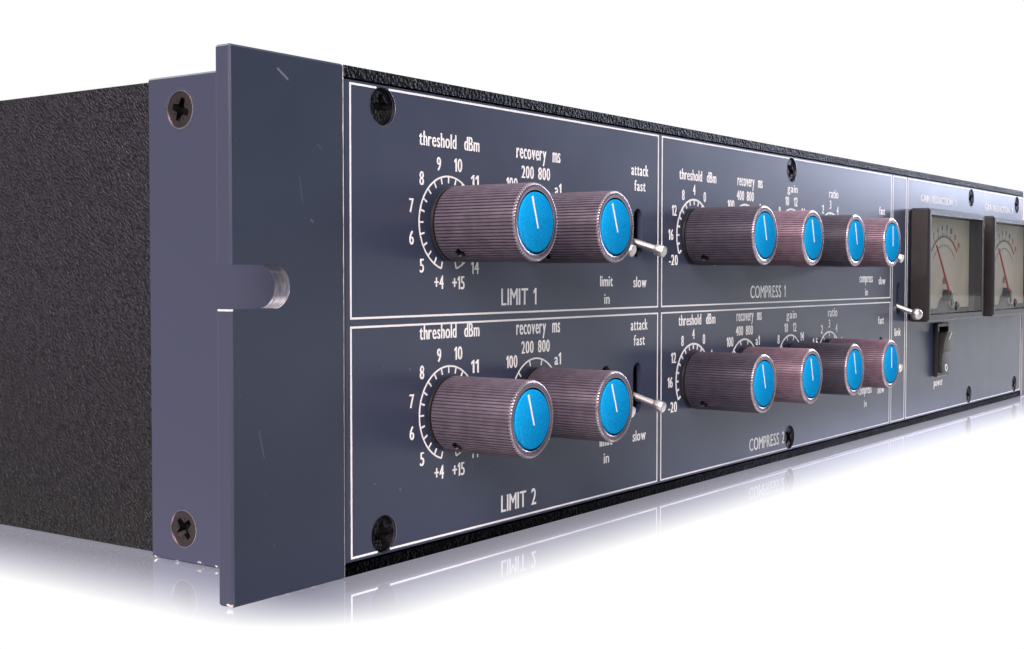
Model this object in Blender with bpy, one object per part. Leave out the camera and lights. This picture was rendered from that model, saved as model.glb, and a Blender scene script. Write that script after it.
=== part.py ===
"""Two-channel rack compressor and limiter, 19 inch wide and two units high.

Design units are millimetres and are turned into metres when a mesh is made.
X runs left to right with 0 in the middle of the rack ears, Y runs from the
front to the back, and Z runs up from the underside.  Places across the front
are given as distances from the left ear's outer edge, and depths as distances
behind the ears' front faces, and both are moved into the part's frame by at().
"""
import math

import bmesh
import bpy
from mathutils import Matrix, Vector

MM = 0.001
GAP = 0.3                      # clear space between two pieces that meet

# Overall sizes
WIDTH = 482.6                  # 19 inch
HEIGHT = 88.1                  # two rack units, less the usual clearance
CASE_DEPTH = 254.0             # ear front face to the rear panel's outer face
MIDDLE_Z = HEIGHT / 2

# Ear brackets
EAR_WIDTH = 26.2
EAR_THICK = 3.4
FLANGE_OUT = 18.3              # outer face of the side flange, from the ear's edge
FLANGE_THICK = 3.0
FLANGE_BACK = 41.3
NOTCH_Z = 50.4
NOTCH_R = 3.5
NOTCH_DEEP = 12.8              # ear's edge to the bottom of the notch
EDGE_ROUND = 0.35
SIDE_SCREW_Y = 32.5
SIDE_SCREW_Z = (6.2, 81.9)
SIDE_SCREW_R = 3.6

# Sheet metal
COVER_THICK = 2.0
SIDE_THICK = 2.0
REAR_THICK = 2.0
PANEL_FACE = 0.4               # the panel sits just behind the ears' faces
PANEL_THICK = 3.0
PANEL_SCREW_X = (36.5, 213.1, 382.0, 446.1)
PANEL_SCREW_Z = (6.0, 82.0)
PANEL_SCREW_R = 3.35

# Controls: rows are channels, row 1 on top
ROW_Z = {1: 61.8, 2: 26.1}
KNOB_X = {
    "limit_threshold": 55.4,
    "limit_recovery": 84.6,
    "compress_threshold": 154.2,
    "compress_recovery": 183.2,
    "compress_gain": 213.1,
    "compress_ratio": 241.7,
}
MAUVE_KNOBS = ("compress_recovery", "compress_ratio")
EXTRA_REACH = {"limit_threshold_1": 0.8}    # this knob stands further out on its shaft
KNOB_R = 7.15
KNOB_REACH = 19.3              # panel face to the knob's end
KNOB_CLEAR = 1.0               # panel face to the knob's back
KNOB_CHAMFER = 0.7
RECESS_R = 5.9
RECESS_DEEP = 1.9
CAP_R = 5.48
CAP_THICK = 1.7
SHAFT_R = 3.0
SHAFT_HOLE_R = 3.5
SHAFT_END = 12.0
ROUND_SIDES = 20               # sides of a large round face
SMALL_SIDES = 12               # sides of pins, holes and small rods

# Toggle levers: a thin arm with a fatter grip, tilted down at rest
TOGGLE_X = {
    "limit_in": 112.5,
    "limit_attack": 126.5,
    "compress_in": 272.2,
    "compress_attack": 285.5,
}
SLOT_WIDE = 3.9
SLOT_TALL = 11.8
LEVER_PIVOT_Y = 7.6
LEVER_TILT = 17.0
LEVER_REACH = 14.9             # pivot to the grip's end
LEVER_ARM_R = 0.55
GRIP_R = 1.3
GRIP_LONG = 3.3
LEVER_HUB_R = 1.7
LINK_X = 302.0
LINK_Z = MIDDLE_Z
LINK_TILT = 20.0
LINK_REACH = 14.4              # pivot to the middle of the ball
BALL_R = 1.9

# Mains rocker
POWER_X = 345.0
POWER_Z = 25.2
BEZEL_WIDE = 13.2
BEZEL_TALL = 19.4
BEZEL_PROUD = 1.8
BEZEL_WALL = 1.3
BEZEL_BACK = 12.0
ROCKER_PIVOT_Y = 3.0
ROCKER_TILT = 7.0
ROCKER_PROUD = 2.2

# Meters
METER_LEFT = (311.6, 388.4)
METER_WIDE = 64.0
METER_Z = (36.2, 75.1)
METER_PROUD = 7.0
METER_WALL = 2.2
METER_DIAL = 1.9               # dial plate in front of the panel face
METER_NECK = 5.0               # step from the bezel to the part behind the panel
METER_BACK = 26.0
LENS_THICK = 1.2
NEEDLE_PIVOT_UP = 6.5          # above the lower edge of the meter's window
NEEDLE_LONG = 24.0
NEEDLE_TILT = 42.0

# Rear connectors
SOCKET_X = (60.0, 98.0, 150.0, 188.0)
SOCKET_NAMES = ("input_socket_1", "input_socket_2", "output_socket_1", "output_socket_2")
SOCKET_Z = MIDDLE_Z
SOCKET_FLANGE = (26.0, 31.0)
SOCKET_FLANGE_THICK = 2.2
SOCKET_BODY_R = 11.6
SOCKET_BODY_LONG = 20.0
SOCKET_CUP_R = 9.3
SOCKET_CUP_DEEP = 12.0
PIN_R = 1.2
PIN_CIRCLE = 3.5
INSERT_R = 7.0
INLET_X = 420.0
INLET_Z = MIDDLE_Z
INLET_FLANGE = (48.0, 26.0)
INLET_BODY = (28.0, 20.5)
INLET_CUP = (24.0, 16.4)
INLET_CUP_DEEP = 15.0
INLET_LONG = 24.0
FUSE_X = 372.0
FUSE_R = 6.4
FUSE_CAP_R = 7.6
FUSE_REACH = 9.6
FUSE_LONG = 38.0

# Boards and transformers inside the case
BOARD_THICK = 1.6
CONTROL_BOARD_Y = 24.0
POT_R = 8.2
POT_FRONT = 12.6
CARD_Z = {1: 58.0, 2: 22.0}
CARD_X = (52.0, 292.0)
CARD_Y = (48.0, 206.0)
CAN_R = 13.0
CAN_TALL = 20.0
SUPPLY_X = (306.0, 372.0)
SUPPLY_Y = (48.0, 150.0)
TOROID_X = 416.0
TOROID_Y = 160.0
TOROID_R = 36.0
TOROID_HOLE_R = 11.0
TOROID_TALL = 40.0

CAP_PROUD = CAP_THICK + GAP - RECESS_DEEP
FRONT_REACH = KNOB_REACH + max(EXTRA_REACH.values()) + CAP_PROUD - PANEL_FACE
ORIGIN_Y = (CASE_DEPTH + FUSE_REACH - FRONT_REACH) / 2


def at(x, y, z):
    """A place given from the left edge, the ear faces and the underside."""
    return Vector((x - WIDTH / 2, y - ORIGIN_Y, z)) * MM


def material(name, color, roughness, metallic=0.0, alpha=1.0):
    mat = bpy.data.materials.new(name)
    mat.use_nodes = True
    shader = mat.node_tree.nodes["Principled BSDF"]
    shader.inputs["Base Color"].default_value = (*color, 1.0)
    shader.inputs["Roughness"].default_value = roughness
    shader.inputs["Metallic"].default_value = metallic
    shader.inputs["Alpha"].default_value = alpha
    mat.diffuse_color = (*color, alpha)
    return mat


def add_object(name, bm, mat=None, pivot=None):
    """Make an object whose origin is at pivot, a place in metres."""
    origin = pivot if pivot is not None else Vector((0, 0, 0))
    bmesh.ops.recalc_face_normals(bm, faces=bm.faces)
    bm.transform(Matrix.Translation(-origin))
    mesh = bpy.data.meshes.new(name)
    bm.to_mesh(mesh)
    bm.free()
    mesh.shade_smooth()
    mesh.set_sharp_from_angle(angle=math.radians(30))
    obj = bpy.data.objects.new(name, mesh)
    obj.location = origin
    if mat is not None:
        mesh.materials.append(mat)
    bpy.context.collection.objects.link(obj)
    return obj


def hide_helper(obj):
    obj.hide_render = True
    obj.display_type = "WIRE"
    return obj


def combine(target, helper, operation):
    """Cut helper out of target, or join it on; helper may be several bodies."""
    hide_helper(helper)
    mod = target.modifiers.new(operation.lower() + "_" + helper.name, "BOOLEAN")
    mod.object = helper
    mod.operation = operation
    mod.solver = "EXACT"
    return target


def add_prism(bm, outline, low, high):
    """Extrude an outline of points at low by the way from low to high."""
    ring = [bm.verts.new(Vector(point)) for point in outline]
    face = bm.faces.new(ring)
    lifted = bmesh.ops.extrude_face_region(bm, geom=[face])
    moved = [item for item in lifted["geom"] if isinstance(item, bmesh.types.BMVert)]
    bmesh.ops.translate(bm, verts=moved, vec=Vector(high) - Vector(low))
    return bm


def add_box(bm, low, high):
    """A box between two corners given as at() takes them."""
    (x0, y0, z0), (x1, y1, z1) = low, high
    outline = [at(x0, y0, z0), at(x1, y0, z0), at(x1, y1, z0), at(x0, y1, z0)]
    return add_prism(bm, outline, at(x0, y0, z0), at(x0, y0, z1))


def add_rings(bm, rings):
    """Close a stack of equal rings of points into one solid."""
    loops = [[bm.verts.new(point) for point in ring] for ring in rings]
    bm.faces.new(loops[0])
    bm.faces.new(loops[-1])
    sides = len(loops[0])
    for loop, next_loop in zip(loops, loops[1:]):
        for step in range(sides):
            after = (step + 1) % sides
            bm.faces.new((loop[step], loop[after], next_loop[after], next_loop[step]))
    return bm


def add_turned(bm, x, z, profile, sides=ROUND_SIDES):
    """A round solid along Y from (radius, depth) points, flat at both ends."""
    turn = [2 * math.pi * step / sides for step in range(sides)]
    return add_rings(bm, [[at(x + radius * math.cos(t), depth, z + radius * math.sin(t)) for t in turn]
                          for radius, depth in profile])


def add_rod(bm, x, z, radius, y0, y1, sides=ROUND_SIDES):
    """A plain rod along Y, from depth y0 to depth y1."""
    return add_turned(bm, x, z, [(radius, y0), (radius, y1)], sides)


def add_upright(bm, x, y, radius, z0, z1, sides=ROUND_SIDES):
    """A round can standing on Z."""
    turn = [2 * math.pi * step / sides for step in range(sides)]
    outline = [at(x + radius * math.cos(t), y + radius * math.sin(t), z0) for t in turn]
    return add_prism(bm, outline, at(x, y, z0), at(x, y, z1))


def turned(profile, x, z, sides=ROUND_SIDES):
    """A solid turned about the Y axis through x, z from (radius, depth) points."""
    bm = bmesh.new()
    verts = [bm.verts.new(at(x + radius, depth, z)) for radius, depth in profile]
    edges = [bm.edges.new(pair) for pair in zip(verts, verts[1:])]
    bmesh.ops.spin(bm, geom=verts + edges, cent=at(x, 0, z), axis=(0, 1, 0), angle=2 * math.pi,
                   steps=sides, use_merge=True, use_duplicate=False)
    bmesh.ops.remove_doubles(bm, verts=bm.verts, dist=0.005 * MM)
    return bm


def box_object(name, low, high, mat, bevel=0.0):
    bm = add_box(bmesh.new(), low, high)
    if bevel:
        bmesh.ops.bevel(bm, geom=bm.edges[:], offset=bevel * MM, segments=1, profile=0.5, affect="EDGES")
    return add_object(name, bm, mat)


def mirrored(x, side):
    """The same distance in from the left edge or from the right one."""
    return x if side == "left" else WIDTH - x


# --- case -------------------------------------------------------------------

def ear_bracket(side, mat):
    """An angle: the ear in front, and the flange that screws to the case's side."""
    inner = FLANGE_OUT + FLANGE_THICK
    plan = [(0, 0), (EAR_WIDTH, 0), (EAR_WIDTH, EAR_THICK), (inner, EAR_THICK), (inner, FLANGE_BACK),
            (FLANGE_OUT, FLANGE_BACK), (FLANGE_OUT, EAR_THICK), (0, EAR_THICK)]
    outline = [at(mirrored(x, side), y, 0) for x, y in plan]
    bm = add_prism(bmesh.new(), outline, at(0, 0, 0), at(0, 0, HEIGHT))
    bmesh.ops.bevel(bm, geom=bm.edges[:], offset=EDGE_ROUND * MM, segments=1, profile=0.5, affect="EDGES")
    bracket = add_object(f"ear_bracket_{side}", bm, mat)

    cutter = bmesh.new()
    centre = NOTCH_DEEP - NOTCH_R
    arc = [(centre + NOTCH_R * math.sin(math.pi * step / 16), NOTCH_Z - NOTCH_R * math.cos(math.pi * step / 16))
           for step in range(17)]
    notch = [(-5, NOTCH_Z - NOTCH_R)] + arc + [(-5, NOTCH_Z + NOTCH_R)]
    add_prism(cutter, [at(mirrored(x, side), -2, z) for x, z in notch], at(0, -2, 0), at(0, EAR_THICK + 2, 0))
    for z in SIDE_SCREW_Z:
        add_side_countersink(cutter, side, z)
    return combine(bracket, add_object(f"bracket_cutter_{side}", cutter), "DIFFERENCE")


def add_side_countersink(bm, side, z):
    """A countersunk hole through the flange, its wide end outwards."""
    head = SIDE_SCREW_R + 0.2
    steps = ((FLANGE_OUT - 1.0, head), (FLANGE_OUT + 0.3, head), (FLANGE_OUT + 2.0, 2.0),
             (FLANGE_OUT + FLANGE_THICK + 1.0, 2.0))
    turn = [2 * math.pi * step / ROUND_SIDES for step in range(ROUND_SIDES)]
    add_rings(bm, [[at(mirrored(x, side), SIDE_SCREW_Y + radius * math.cos(t), z + radius * math.sin(t))
                    for t in turn] for x, radius in steps])


def cover(name, low_z, mat):
    """A top or bottom sheet; its narrow tongue comes forward between the ears."""
    ear_gap = EAR_WIDTH + GAP
    side_gap = FLANGE_OUT + FLANGE_THICK + GAP + SIDE_THICK + GAP
    step_y = EAR_THICK + GAP
    plan = [(ear_gap, PANEL_FACE), (WIDTH - ear_gap, PANEL_FACE), (WIDTH - ear_gap, step_y),
            (WIDTH - side_gap, step_y), (WIDTH - side_gap, CASE_DEPTH), (side_gap, CASE_DEPTH),
            (side_gap, step_y), (ear_gap, step_y)]
    outline = [at(x, y, low_z) for x, y in plan]
    bm = add_prism(bmesh.new(), outline, at(0, 0, low_z), at(0, 0, low_z + COVER_THICK))
    return add_object(name, bm, mat)


def side_plate(side, mat):
    outer = FLANGE_OUT + FLANGE_THICK + GAP
    xs = sorted((mirrored(outer, side), mirrored(outer + SIDE_THICK, side)))
    return box_object(f"side_plate_{side}", (xs[0], EAR_THICK + GAP, 0), (xs[1], CASE_DEPTH, HEIGHT), mat)


def add_slot(bm, x, z, y0, y1):
    """An upright slot with round ends."""
    radius = SLOT_WIDE / 2
    rise = SLOT_TALL / 2 - radius
    turn = [math.pi * step / 5 for step in range(6)]
    upper = [(x + radius * math.cos(t), z + rise + radius * math.sin(t)) for t in turn]
    lower = [(x - radius * math.cos(t), z - rise - radius * math.sin(t)) for t in turn]
    return add_prism(bm, [at(u, y0, w) for u, w in upper + lower], at(0, y0, 0), at(0, y1, 0))


def front_panel(mat):
    """The plate that carries every control, with their holes and slots."""
    low = (EAR_WIDTH + GAP, PANEL_FACE, COVER_THICK + GAP)
    high = (WIDTH - EAR_WIDTH - GAP, PANEL_FACE + PANEL_THICK, HEIGHT - COVER_THICK - GAP)
    panel = box_object("front_panel", low, high, mat, bevel=0.2)
    front, back = PANEL_FACE - 1, PANEL_FACE + PANEL_THICK + 1
    cutter = bmesh.new()
    for z in ROW_Z.values():
        for x in KNOB_X.values():
            add_rod(cutter, x, z, SHAFT_HOLE_R, front, back, SMALL_SIDES)
        for x in TOGGLE_X.values():
            add_slot(cutter, x, z, front, back)
    add_slot(cutter, LINK_X, LINK_Z, front, back)
    for left in METER_LEFT:
        neck = METER_NECK - GAP
        add_box(cutter, (left + neck, front, METER_Z[0] + neck), (left + METER_WIDE - neck, back, METER_Z[1] - neck))
    wide, tall = BEZEL_WIDE / 2 - BEZEL_WALL / 2 + GAP, BEZEL_TALL / 2 - BEZEL_WALL / 2 + GAP
    add_box(cutter, (POWER_X - wide, front, POWER_Z - tall), (POWER_X + wide, back, POWER_Z + tall))
    head = PANEL_SCREW_R + 0.15
    for x in PANEL_SCREW_X:
        for z in PANEL_SCREW_Z:
            add_turned(cutter, x, z, [(head, front), (head, PANEL_FACE + 0.3), (1.8, PANEL_FACE + 1.9), (1.8, back)])
    return combine(panel, add_object("panel_cutter", cutter), "DIFFERENCE")


def rear_panel(mat):
    side_gap = FLANGE_OUT + FLANGE_THICK + GAP + SIDE_THICK + GAP
    low = (side_gap, CASE_DEPTH - REAR_THICK, COVER_THICK + GAP)
    high = (WIDTH - side_gap, CASE_DEPTH, HEIGHT - COVER_THICK - GAP)
    panel = box_object("rear_panel", low, high, mat)
    front, back = CASE_DEPTH - REAR_THICK - 1, CASE_DEPTH + 1
    cutter = bmesh.new()
    for x in SOCKET_X:
        add_rod(cutter, x, SOCKET_Z, SOCKET_BODY_R + GAP, front, back)
    wide, tall = INLET_BODY[0] / 2 + GAP, INLET_BODY[1] / 2 + GAP
    add_box(cutter, (INLET_X - wide, front, INLET_Z - tall), (INLET_X + wide, back, INLET_Z + tall))
    add_rod(cutter, FUSE_X, INLET_Z, FUSE_R + GAP, front, back)
    return combine(panel, add_object("rear_cutter", cutter), "DIFFERENCE")


# --- controls ---------------------------------------------------------------

def knob(name, x, z, extra, mat):
    """A turned knob with its shaft and the recess that the cap presses into."""
    end = PANEL_FACE - KNOB_REACH - extra
    back = PANEL_FACE - KNOB_CLEAR - extra
    floor = end + RECESS_DEEP
    profile = [(0, floor), (RECESS_R, floor), (RECESS_R, end), (KNOB_R - KNOB_CHAMFER, end),
               (KNOB_R, end + KNOB_CHAMFER), (KNOB_R, back), (SHAFT_R, back), (SHAFT_R, SHAFT_END), (0, SHAFT_END)]
    return add_object(name, turned(profile, x, z), mat, at(x, back, z))


def cap(name, x, z, extra, mat):
    """The coloured disc in the knob's end, a little below its rim."""
    back = PANEL_FACE - KNOB_REACH - extra + RECESS_DEEP - GAP
    front = back - CAP_THICK
    profile = [(0, front), (CAP_R - 0.25, front), (CAP_R, front + 0.25), (CAP_R, back), (0, back)]
    return add_object(name, turned(profile, x, z), mat, at(x, front, z))


def lever(name, x, z, tilt, grip, mat):
    """A toggle lever; grip is a list of (radius, distance from the pivot) points."""
    arm_start = math.sqrt(LEVER_HUB_R ** 2 - LEVER_ARM_R ** 2)
    hub_steps = 4
    last = math.pi - math.asin(LEVER_ARM_R / LEVER_HUB_R)
    hub = []
    for step in range(hub_steps + 1):
        turn = last * step / hub_steps
        hub.append((LEVER_HUB_R * math.sin(turn), LEVER_PIVOT_Y + LEVER_HUB_R * math.cos(turn)))
    hub[0] = (0, LEVER_PIVOT_Y + LEVER_HUB_R)
    hub[-1] = (LEVER_ARM_R, LEVER_PIVOT_Y - arm_start)
    profile = hub + [(radius, LEVER_PIVOT_Y - reach) for radius, reach in grip]
    bm = turned(profile, x, z, SMALL_SIDES)
    pivot = at(x, LEVER_PIVOT_Y, z)
    bmesh.ops.rotate(bm, verts=bm.verts, cent=pivot, matrix=Matrix.Rotation(math.radians(tilt), 3, "X"))
    return add_object(name, bm, mat, pivot)


def toggle_grip():
    start = LEVER_REACH - GRIP_LONG
    return [(LEVER_ARM_R, start), (GRIP_R - 0.2, start), (GRIP_R, start + 0.2), (GRIP_R, LEVER_REACH - 0.2),
            (GRIP_R - 0.2, LEVER_REACH), (0, LEVER_REACH)]


def ball_grip():
    first = math.asin(LEVER_ARM_R / BALL_R)
    steps = 6
    turns = [first + (math.pi - first) * step / steps for step in range(steps)]
    points = [(BALL_R * math.sin(turn), LINK_REACH - BALL_R * math.cos(turn)) for turn in turns]
    return points + [(0, LINK_REACH + BALL_R)]


def power_switch(bezel_mat, rocker_mat):
    wide, tall = BEZEL_WIDE / 2, BEZEL_TALL / 2
    inner_wide, inner_tall = wide - BEZEL_WALL, tall - BEZEL_WALL
    shell_wide, shell_tall = wide - BEZEL_WALL / 2, tall - BEZEL_WALL / 2
    front = PANEL_FACE - BEZEL_PROUD
    bezel = box_object("power_switch_bezel", (POWER_X - wide, front, POWER_Z - tall),
                       (POWER_X + wide, PANEL_FACE - GAP, POWER_Z + tall), bezel_mat, bevel=0.3)
    body = bmesh.new()
    add_box(body, (POWER_X - shell_wide, front + 1, POWER_Z - shell_tall),
            (POWER_X + shell_wide, BEZEL_BACK, POWER_Z + shell_tall))
    combine(bezel, add_object("bezel_body", body), "UNION")
    window = bmesh.new()
    add_box(window, (POWER_X - inner_wide, front - 1, POWER_Z - inner_tall),
            (POWER_X + inner_wide, BEZEL_BACK - 2, POWER_Z + inner_tall))
    combine(bezel, add_object("bezel_window", window), "DIFFERENCE")

    # The rocker's two faces meet at its middle and turn with it about X.
    half = inner_tall - 0.7
    proud = PANEL_FACE - BEZEL_PROUD - ROCKER_PROUD
    side = [(proud, half), (proud + 0.9, 0), (proud, -half), (ROCKER_PIVOT_Y + 1, -half * 0.75),
            (ROCKER_PIVOT_Y + 3, 0), (ROCKER_PIVOT_Y + 1, half * 0.75)]
    x0, x1 = POWER_X - inner_wide + GAP, POWER_X + inner_wide - GAP
    bm = add_prism(bmesh.new(), [at(x0, y, POWER_Z + z) for y, z in side], at(x0, 0, 0), at(x1, 0, 0))
    pivot = at(POWER_X, ROCKER_PIVOT_Y, POWER_Z)
    bmesh.ops.rotate(bm, verts=bm.verts, cent=pivot, matrix=Matrix.Rotation(math.radians(ROCKER_TILT), 3, "X"))
    return bezel, add_object("power_rocker", bm, rocker_mat, pivot)


# --- meters -----------------------------------------------------------------

def meter(number, left, case_mat, lens_mat, needle_mat):
    right = left + METER_WIDE
    bottom, top = METER_Z
    front = PANEL_FACE - METER_PROUD
    case = box_object(f"meter_{number}_case", (left, front, bottom), (right, PANEL_FACE - GAP, top), case_mat, 0.6)
    body = bmesh.new()
    add_box(body, (left + METER_NECK, front + 3, bottom + METER_NECK),
            (right - METER_NECK, METER_BACK, top - METER_NECK))
    combine(case, add_object(f"meter_{number}_body", body), "UNION")
    window = bmesh.new()
    add_box(window, (left + METER_WALL, front - 1, bottom + METER_WALL),
            (right - METER_WALL, PANEL_FACE - METER_DIAL, top - METER_WALL))
    combine(case, add_object(f"meter_{number}_window", window), "DIFFERENCE")

    inset = METER_WALL + GAP
    box_object(f"meter_{number}_lens", (left + inset, front + 0.2, bottom + inset),
               (right - inset, front + 0.2 + LENS_THICK, top - inset), lens_mat, 0.2)
    needle(f"meter_{number}_needle", (left + right) / 2, bottom + METER_WALL + NEEDLE_PIVOT_UP, front, needle_mat)
    return case


def needle(name, x, z, front, mat):
    """A tapered pointer on a round hub, resting at the left end of its scale."""
    y0 = front + 0.2 + LENS_THICK + 0.9
    y1 = y0 + 0.5
    bm = bmesh.new()
    outline = [(-1.1, -4.5), (1.1, -4.5), (0.3, NEEDLE_LONG), (-0.3, NEEDLE_LONG)]
    add_prism(bm, [at(x + u, y0, z + w) for u, w in outline], at(x, y0, z), at(x, y1, z))
    pivot = at(x, y0, z)
    lean = Matrix.Rotation(math.radians(-NEEDLE_TILT), 3, "Y")
    bmesh.ops.rotate(bm, verts=bm.verts, cent=pivot, matrix=lean)
    pointer = add_object(name, bm, mat, pivot)
    hub = add_rod(bmesh.new(), x, z, 2.2, y0 - 0.4, PANEL_FACE - METER_DIAL - GAP, SMALL_SIDES)
    return combine(pointer, add_object(name + "_hub", hub), "UNION")


# --- rear connectors --------------------------------------------------------

def pin_places(x, z):
    """Three pins on a circle, one of them lowest."""
    turns = [math.radians(angle) for angle in (-90, 30, 150)]
    return [(x + PIN_CIRCLE * math.cos(turn), z - PIN_CIRCLE * math.sin(turn)) for turn in turns]


def audio_socket(name, x, takes_plug, mat):
    """A round three-pole socket on a flange; inputs have holes, outputs have pins."""
    z = SOCKET_Z
    wide, tall = SOCKET_FLANGE[0] / 2, SOCKET_FLANGE[1] / 2
    face = CASE_DEPTH + GAP + SOCKET_FLANGE_THICK
    socket = box_object(name, (x - wide, CASE_DEPTH + GAP, z - tall), (x + wide, face, z + tall), mat, bevel=0.5)
    body = add_rod(bmesh.new(), x, z, SOCKET_BODY_R, CASE_DEPTH - SOCKET_BODY_LONG, face - 1)
    combine(socket, add_object(name + "_body", body), "UNION")
    cup = add_rod(bmesh.new(), x, z, SOCKET_CUP_R, face - SOCKET_CUP_DEEP, face + 1)
    combine(socket, add_object(name + "_cup", cup), "DIFFERENCE")
    if takes_plug:
        core = add_rod(bmesh.new(), x, z, INSERT_R, face - SOCKET_CUP_DEEP - 1, face - 0.8)
        combine(socket, add_object(name + "_core", core), "UNION")
        holes = bmesh.new()
        for pin_x, pin_z in pin_places(x, z):
            add_rod(holes, pin_x, pin_z, PIN_R + 0.1, face - SOCKET_CUP_DEEP + 1, face, sides=8)
        combine(socket, add_object(name + "_holes", holes), "DIFFERENCE")
    else:
        pins = bmesh.new()
        for pin_x, pin_z in pin_places(x, z):
            add_rod(pins, pin_x, pin_z, PIN_R, face - SOCKET_CUP_DEEP - 1, face - 1.5, sides=8)
        combine(socket, add_object(name + "_pins", pins), "UNION")
    return socket


def mains_inlet(mat):
    wide, tall = INLET_FLANGE[0] / 2, INLET_FLANGE[1] / 2
    face = CASE_DEPTH + GAP + 3.0
    inlet = box_object("mains_inlet", (INLET_X - wide, CASE_DEPTH + GAP, INLET_Z - tall),
                       (INLET_X + wide, face, INLET_Z + tall), mat, bevel=0.6)
    body = bmesh.new()
    half, rise = INLET_BODY[0] / 2, INLET_BODY[1] / 2
    add_box(body, (INLET_X - half, CASE_DEPTH - INLET_LONG, INLET_Z - rise), (INLET_X + half, face - 1, INLET_Z + rise))
    combine(inlet, add_object("inlet_body", body), "UNION")
    half, rise = INLET_CUP[0] / 2, INLET_CUP[1] / 2
    corner = 4.5
    outline = [(-half, -rise), (half, -rise), (half, rise - corner), (half - corner, rise),
               (-half + corner, rise), (-half, rise - corner)]
    cup = bmesh.new()
    deep = face - INLET_CUP_DEEP
    add_prism(cup, [at(INLET_X + u, deep, INLET_Z + w) for u, w in outline], at(0, deep, 0), at(0, face + 1, 0))
    combine(inlet, add_object("inlet_cup", cup), "DIFFERENCE")
    blades = bmesh.new()
    for shift, lift in ((-7.0, -1.0), (0.0, 3.0), (7.0, -1.0)):
        add_box(blades, (INLET_X + shift - 1, deep - 1, INLET_Z + lift - 2), (INLET_X + shift + 1, face - 2, INLET_Z + lift + 2))
    return combine(inlet, add_object("inlet_blades", blades), "UNION")


def fuse_holder(mat):
    """A round bayonet holder whose cap stands out of the rear panel."""
    front = CASE_DEPTH - FUSE_LONG
    end = CASE_DEPTH + FUSE_REACH
    profile = [(0, end), (FUSE_CAP_R - 1, end), (FUSE_CAP_R, end - 1), (FUSE_CAP_R, CASE_DEPTH + GAP),
               (FUSE_R, CASE_DEPTH + GAP), (FUSE_R, front), (0, front)]
    return add_object("fuse_holder", turned(profile[::-1], FUSE_X, INLET_Z), mat)


# --- inside -----------------------------------------------------------------

def control_board(mat):
    """The board behind the panel, with every rotary switch and toggle body on it."""
    board = box_object("control_board", (40, CONTROL_BOARD_Y, 12), (304, CONTROL_BOARD_Y + BOARD_THICK, 76), mat)
    parts = bmesh.new()
    for z in ROW_Z.values():
        for x in KNOB_X.values():
            add_rod(parts, x, z, POT_R, POT_FRONT, CONTROL_BOARD_Y + 0.5, SMALL_SIDES)
        for x in TOGGLE_X.values():
            add_box(parts, (x - 4, LEVER_PIVOT_Y + 4, z - 7), (x + 4, CONTROL_BOARD_Y + 0.5, z + 7))
    add_box(parts, (LINK_X - 3.5, LEVER_PIVOT_Y + 4, LINK_Z - 7), (LINK_X + 3.5, CONTROL_BOARD_Y + 0.5, LINK_Z + 7))
    return combine(board, add_object("control_parts", parts), "UNION")


def channel_card(channel, mat):
    """One channel's amplifier board, with its two audio transformers and parts."""
    z = CARD_Z[channel]
    (x0, x1), (y0, y1) = CARD_X, CARD_Y
    card = box_object(f"channel_card_{channel}", (x0, y0, z), (x1, y1, z + BOARD_THICK), mat)
    parts = bmesh.new()
    base = z + BOARD_THICK - 0.5
    for x in (x0 + 32, x0 + 78):
        add_upright(parts, x, y1 - 24, CAN_R, base, base + CAN_TALL, SMALL_SIDES)
    for x in (x0 + 120, x0 + 160, x0 + 200):
        add_upright(parts, x, y1 - 20, 5, base, base + 13, SMALL_SIDES)
        add_box(parts, (x - 7, y0 + 24, base), (x + 7, y0 + 54, base + 4))
    return combine(card, add_object(f"card_parts_{channel}", parts), "UNION")


def supply_board(mat):
    (x0, x1), (y0, y1) = SUPPLY_X, SUPPLY_Y
    board = box_object("power_supply_board", (x0, y0, 8), (x1, y1, 8 + BOARD_THICK), mat)
    parts = bmesh.new()
    base = 8 + BOARD_THICK - 0.5
    for x in (x0 + 18, x0 + 46):
        add_upright(parts, x, y0 + 24, 11, base, base + 24, SMALL_SIDES)
    add_box(parts, (x0 + 8, y1 - 26, base), (x1 - 8, y1 - 20, base + 42))
    return combine(board, add_object("supply_parts", parts), "UNION")


def mains_transformer(mat):
    """A ring-wound transformer standing on the bottom cover."""
    z0 = COVER_THICK + GAP
    ring = add_upright(bmesh.new(), TOROID_X, TOROID_Y, TOROID_R, z0, z0 + TOROID_TALL)
    coil = add_object("mains_transformer", ring, mat)
    hole = add_upright(bmesh.new(), TOROID_X, TOROID_Y, TOROID_HOLE_R, z0 - 1, z0 + TOROID_TALL + 1)
    return combine(coil, add_object("transformer_hole", hole), "DIFFERENCE")


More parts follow.
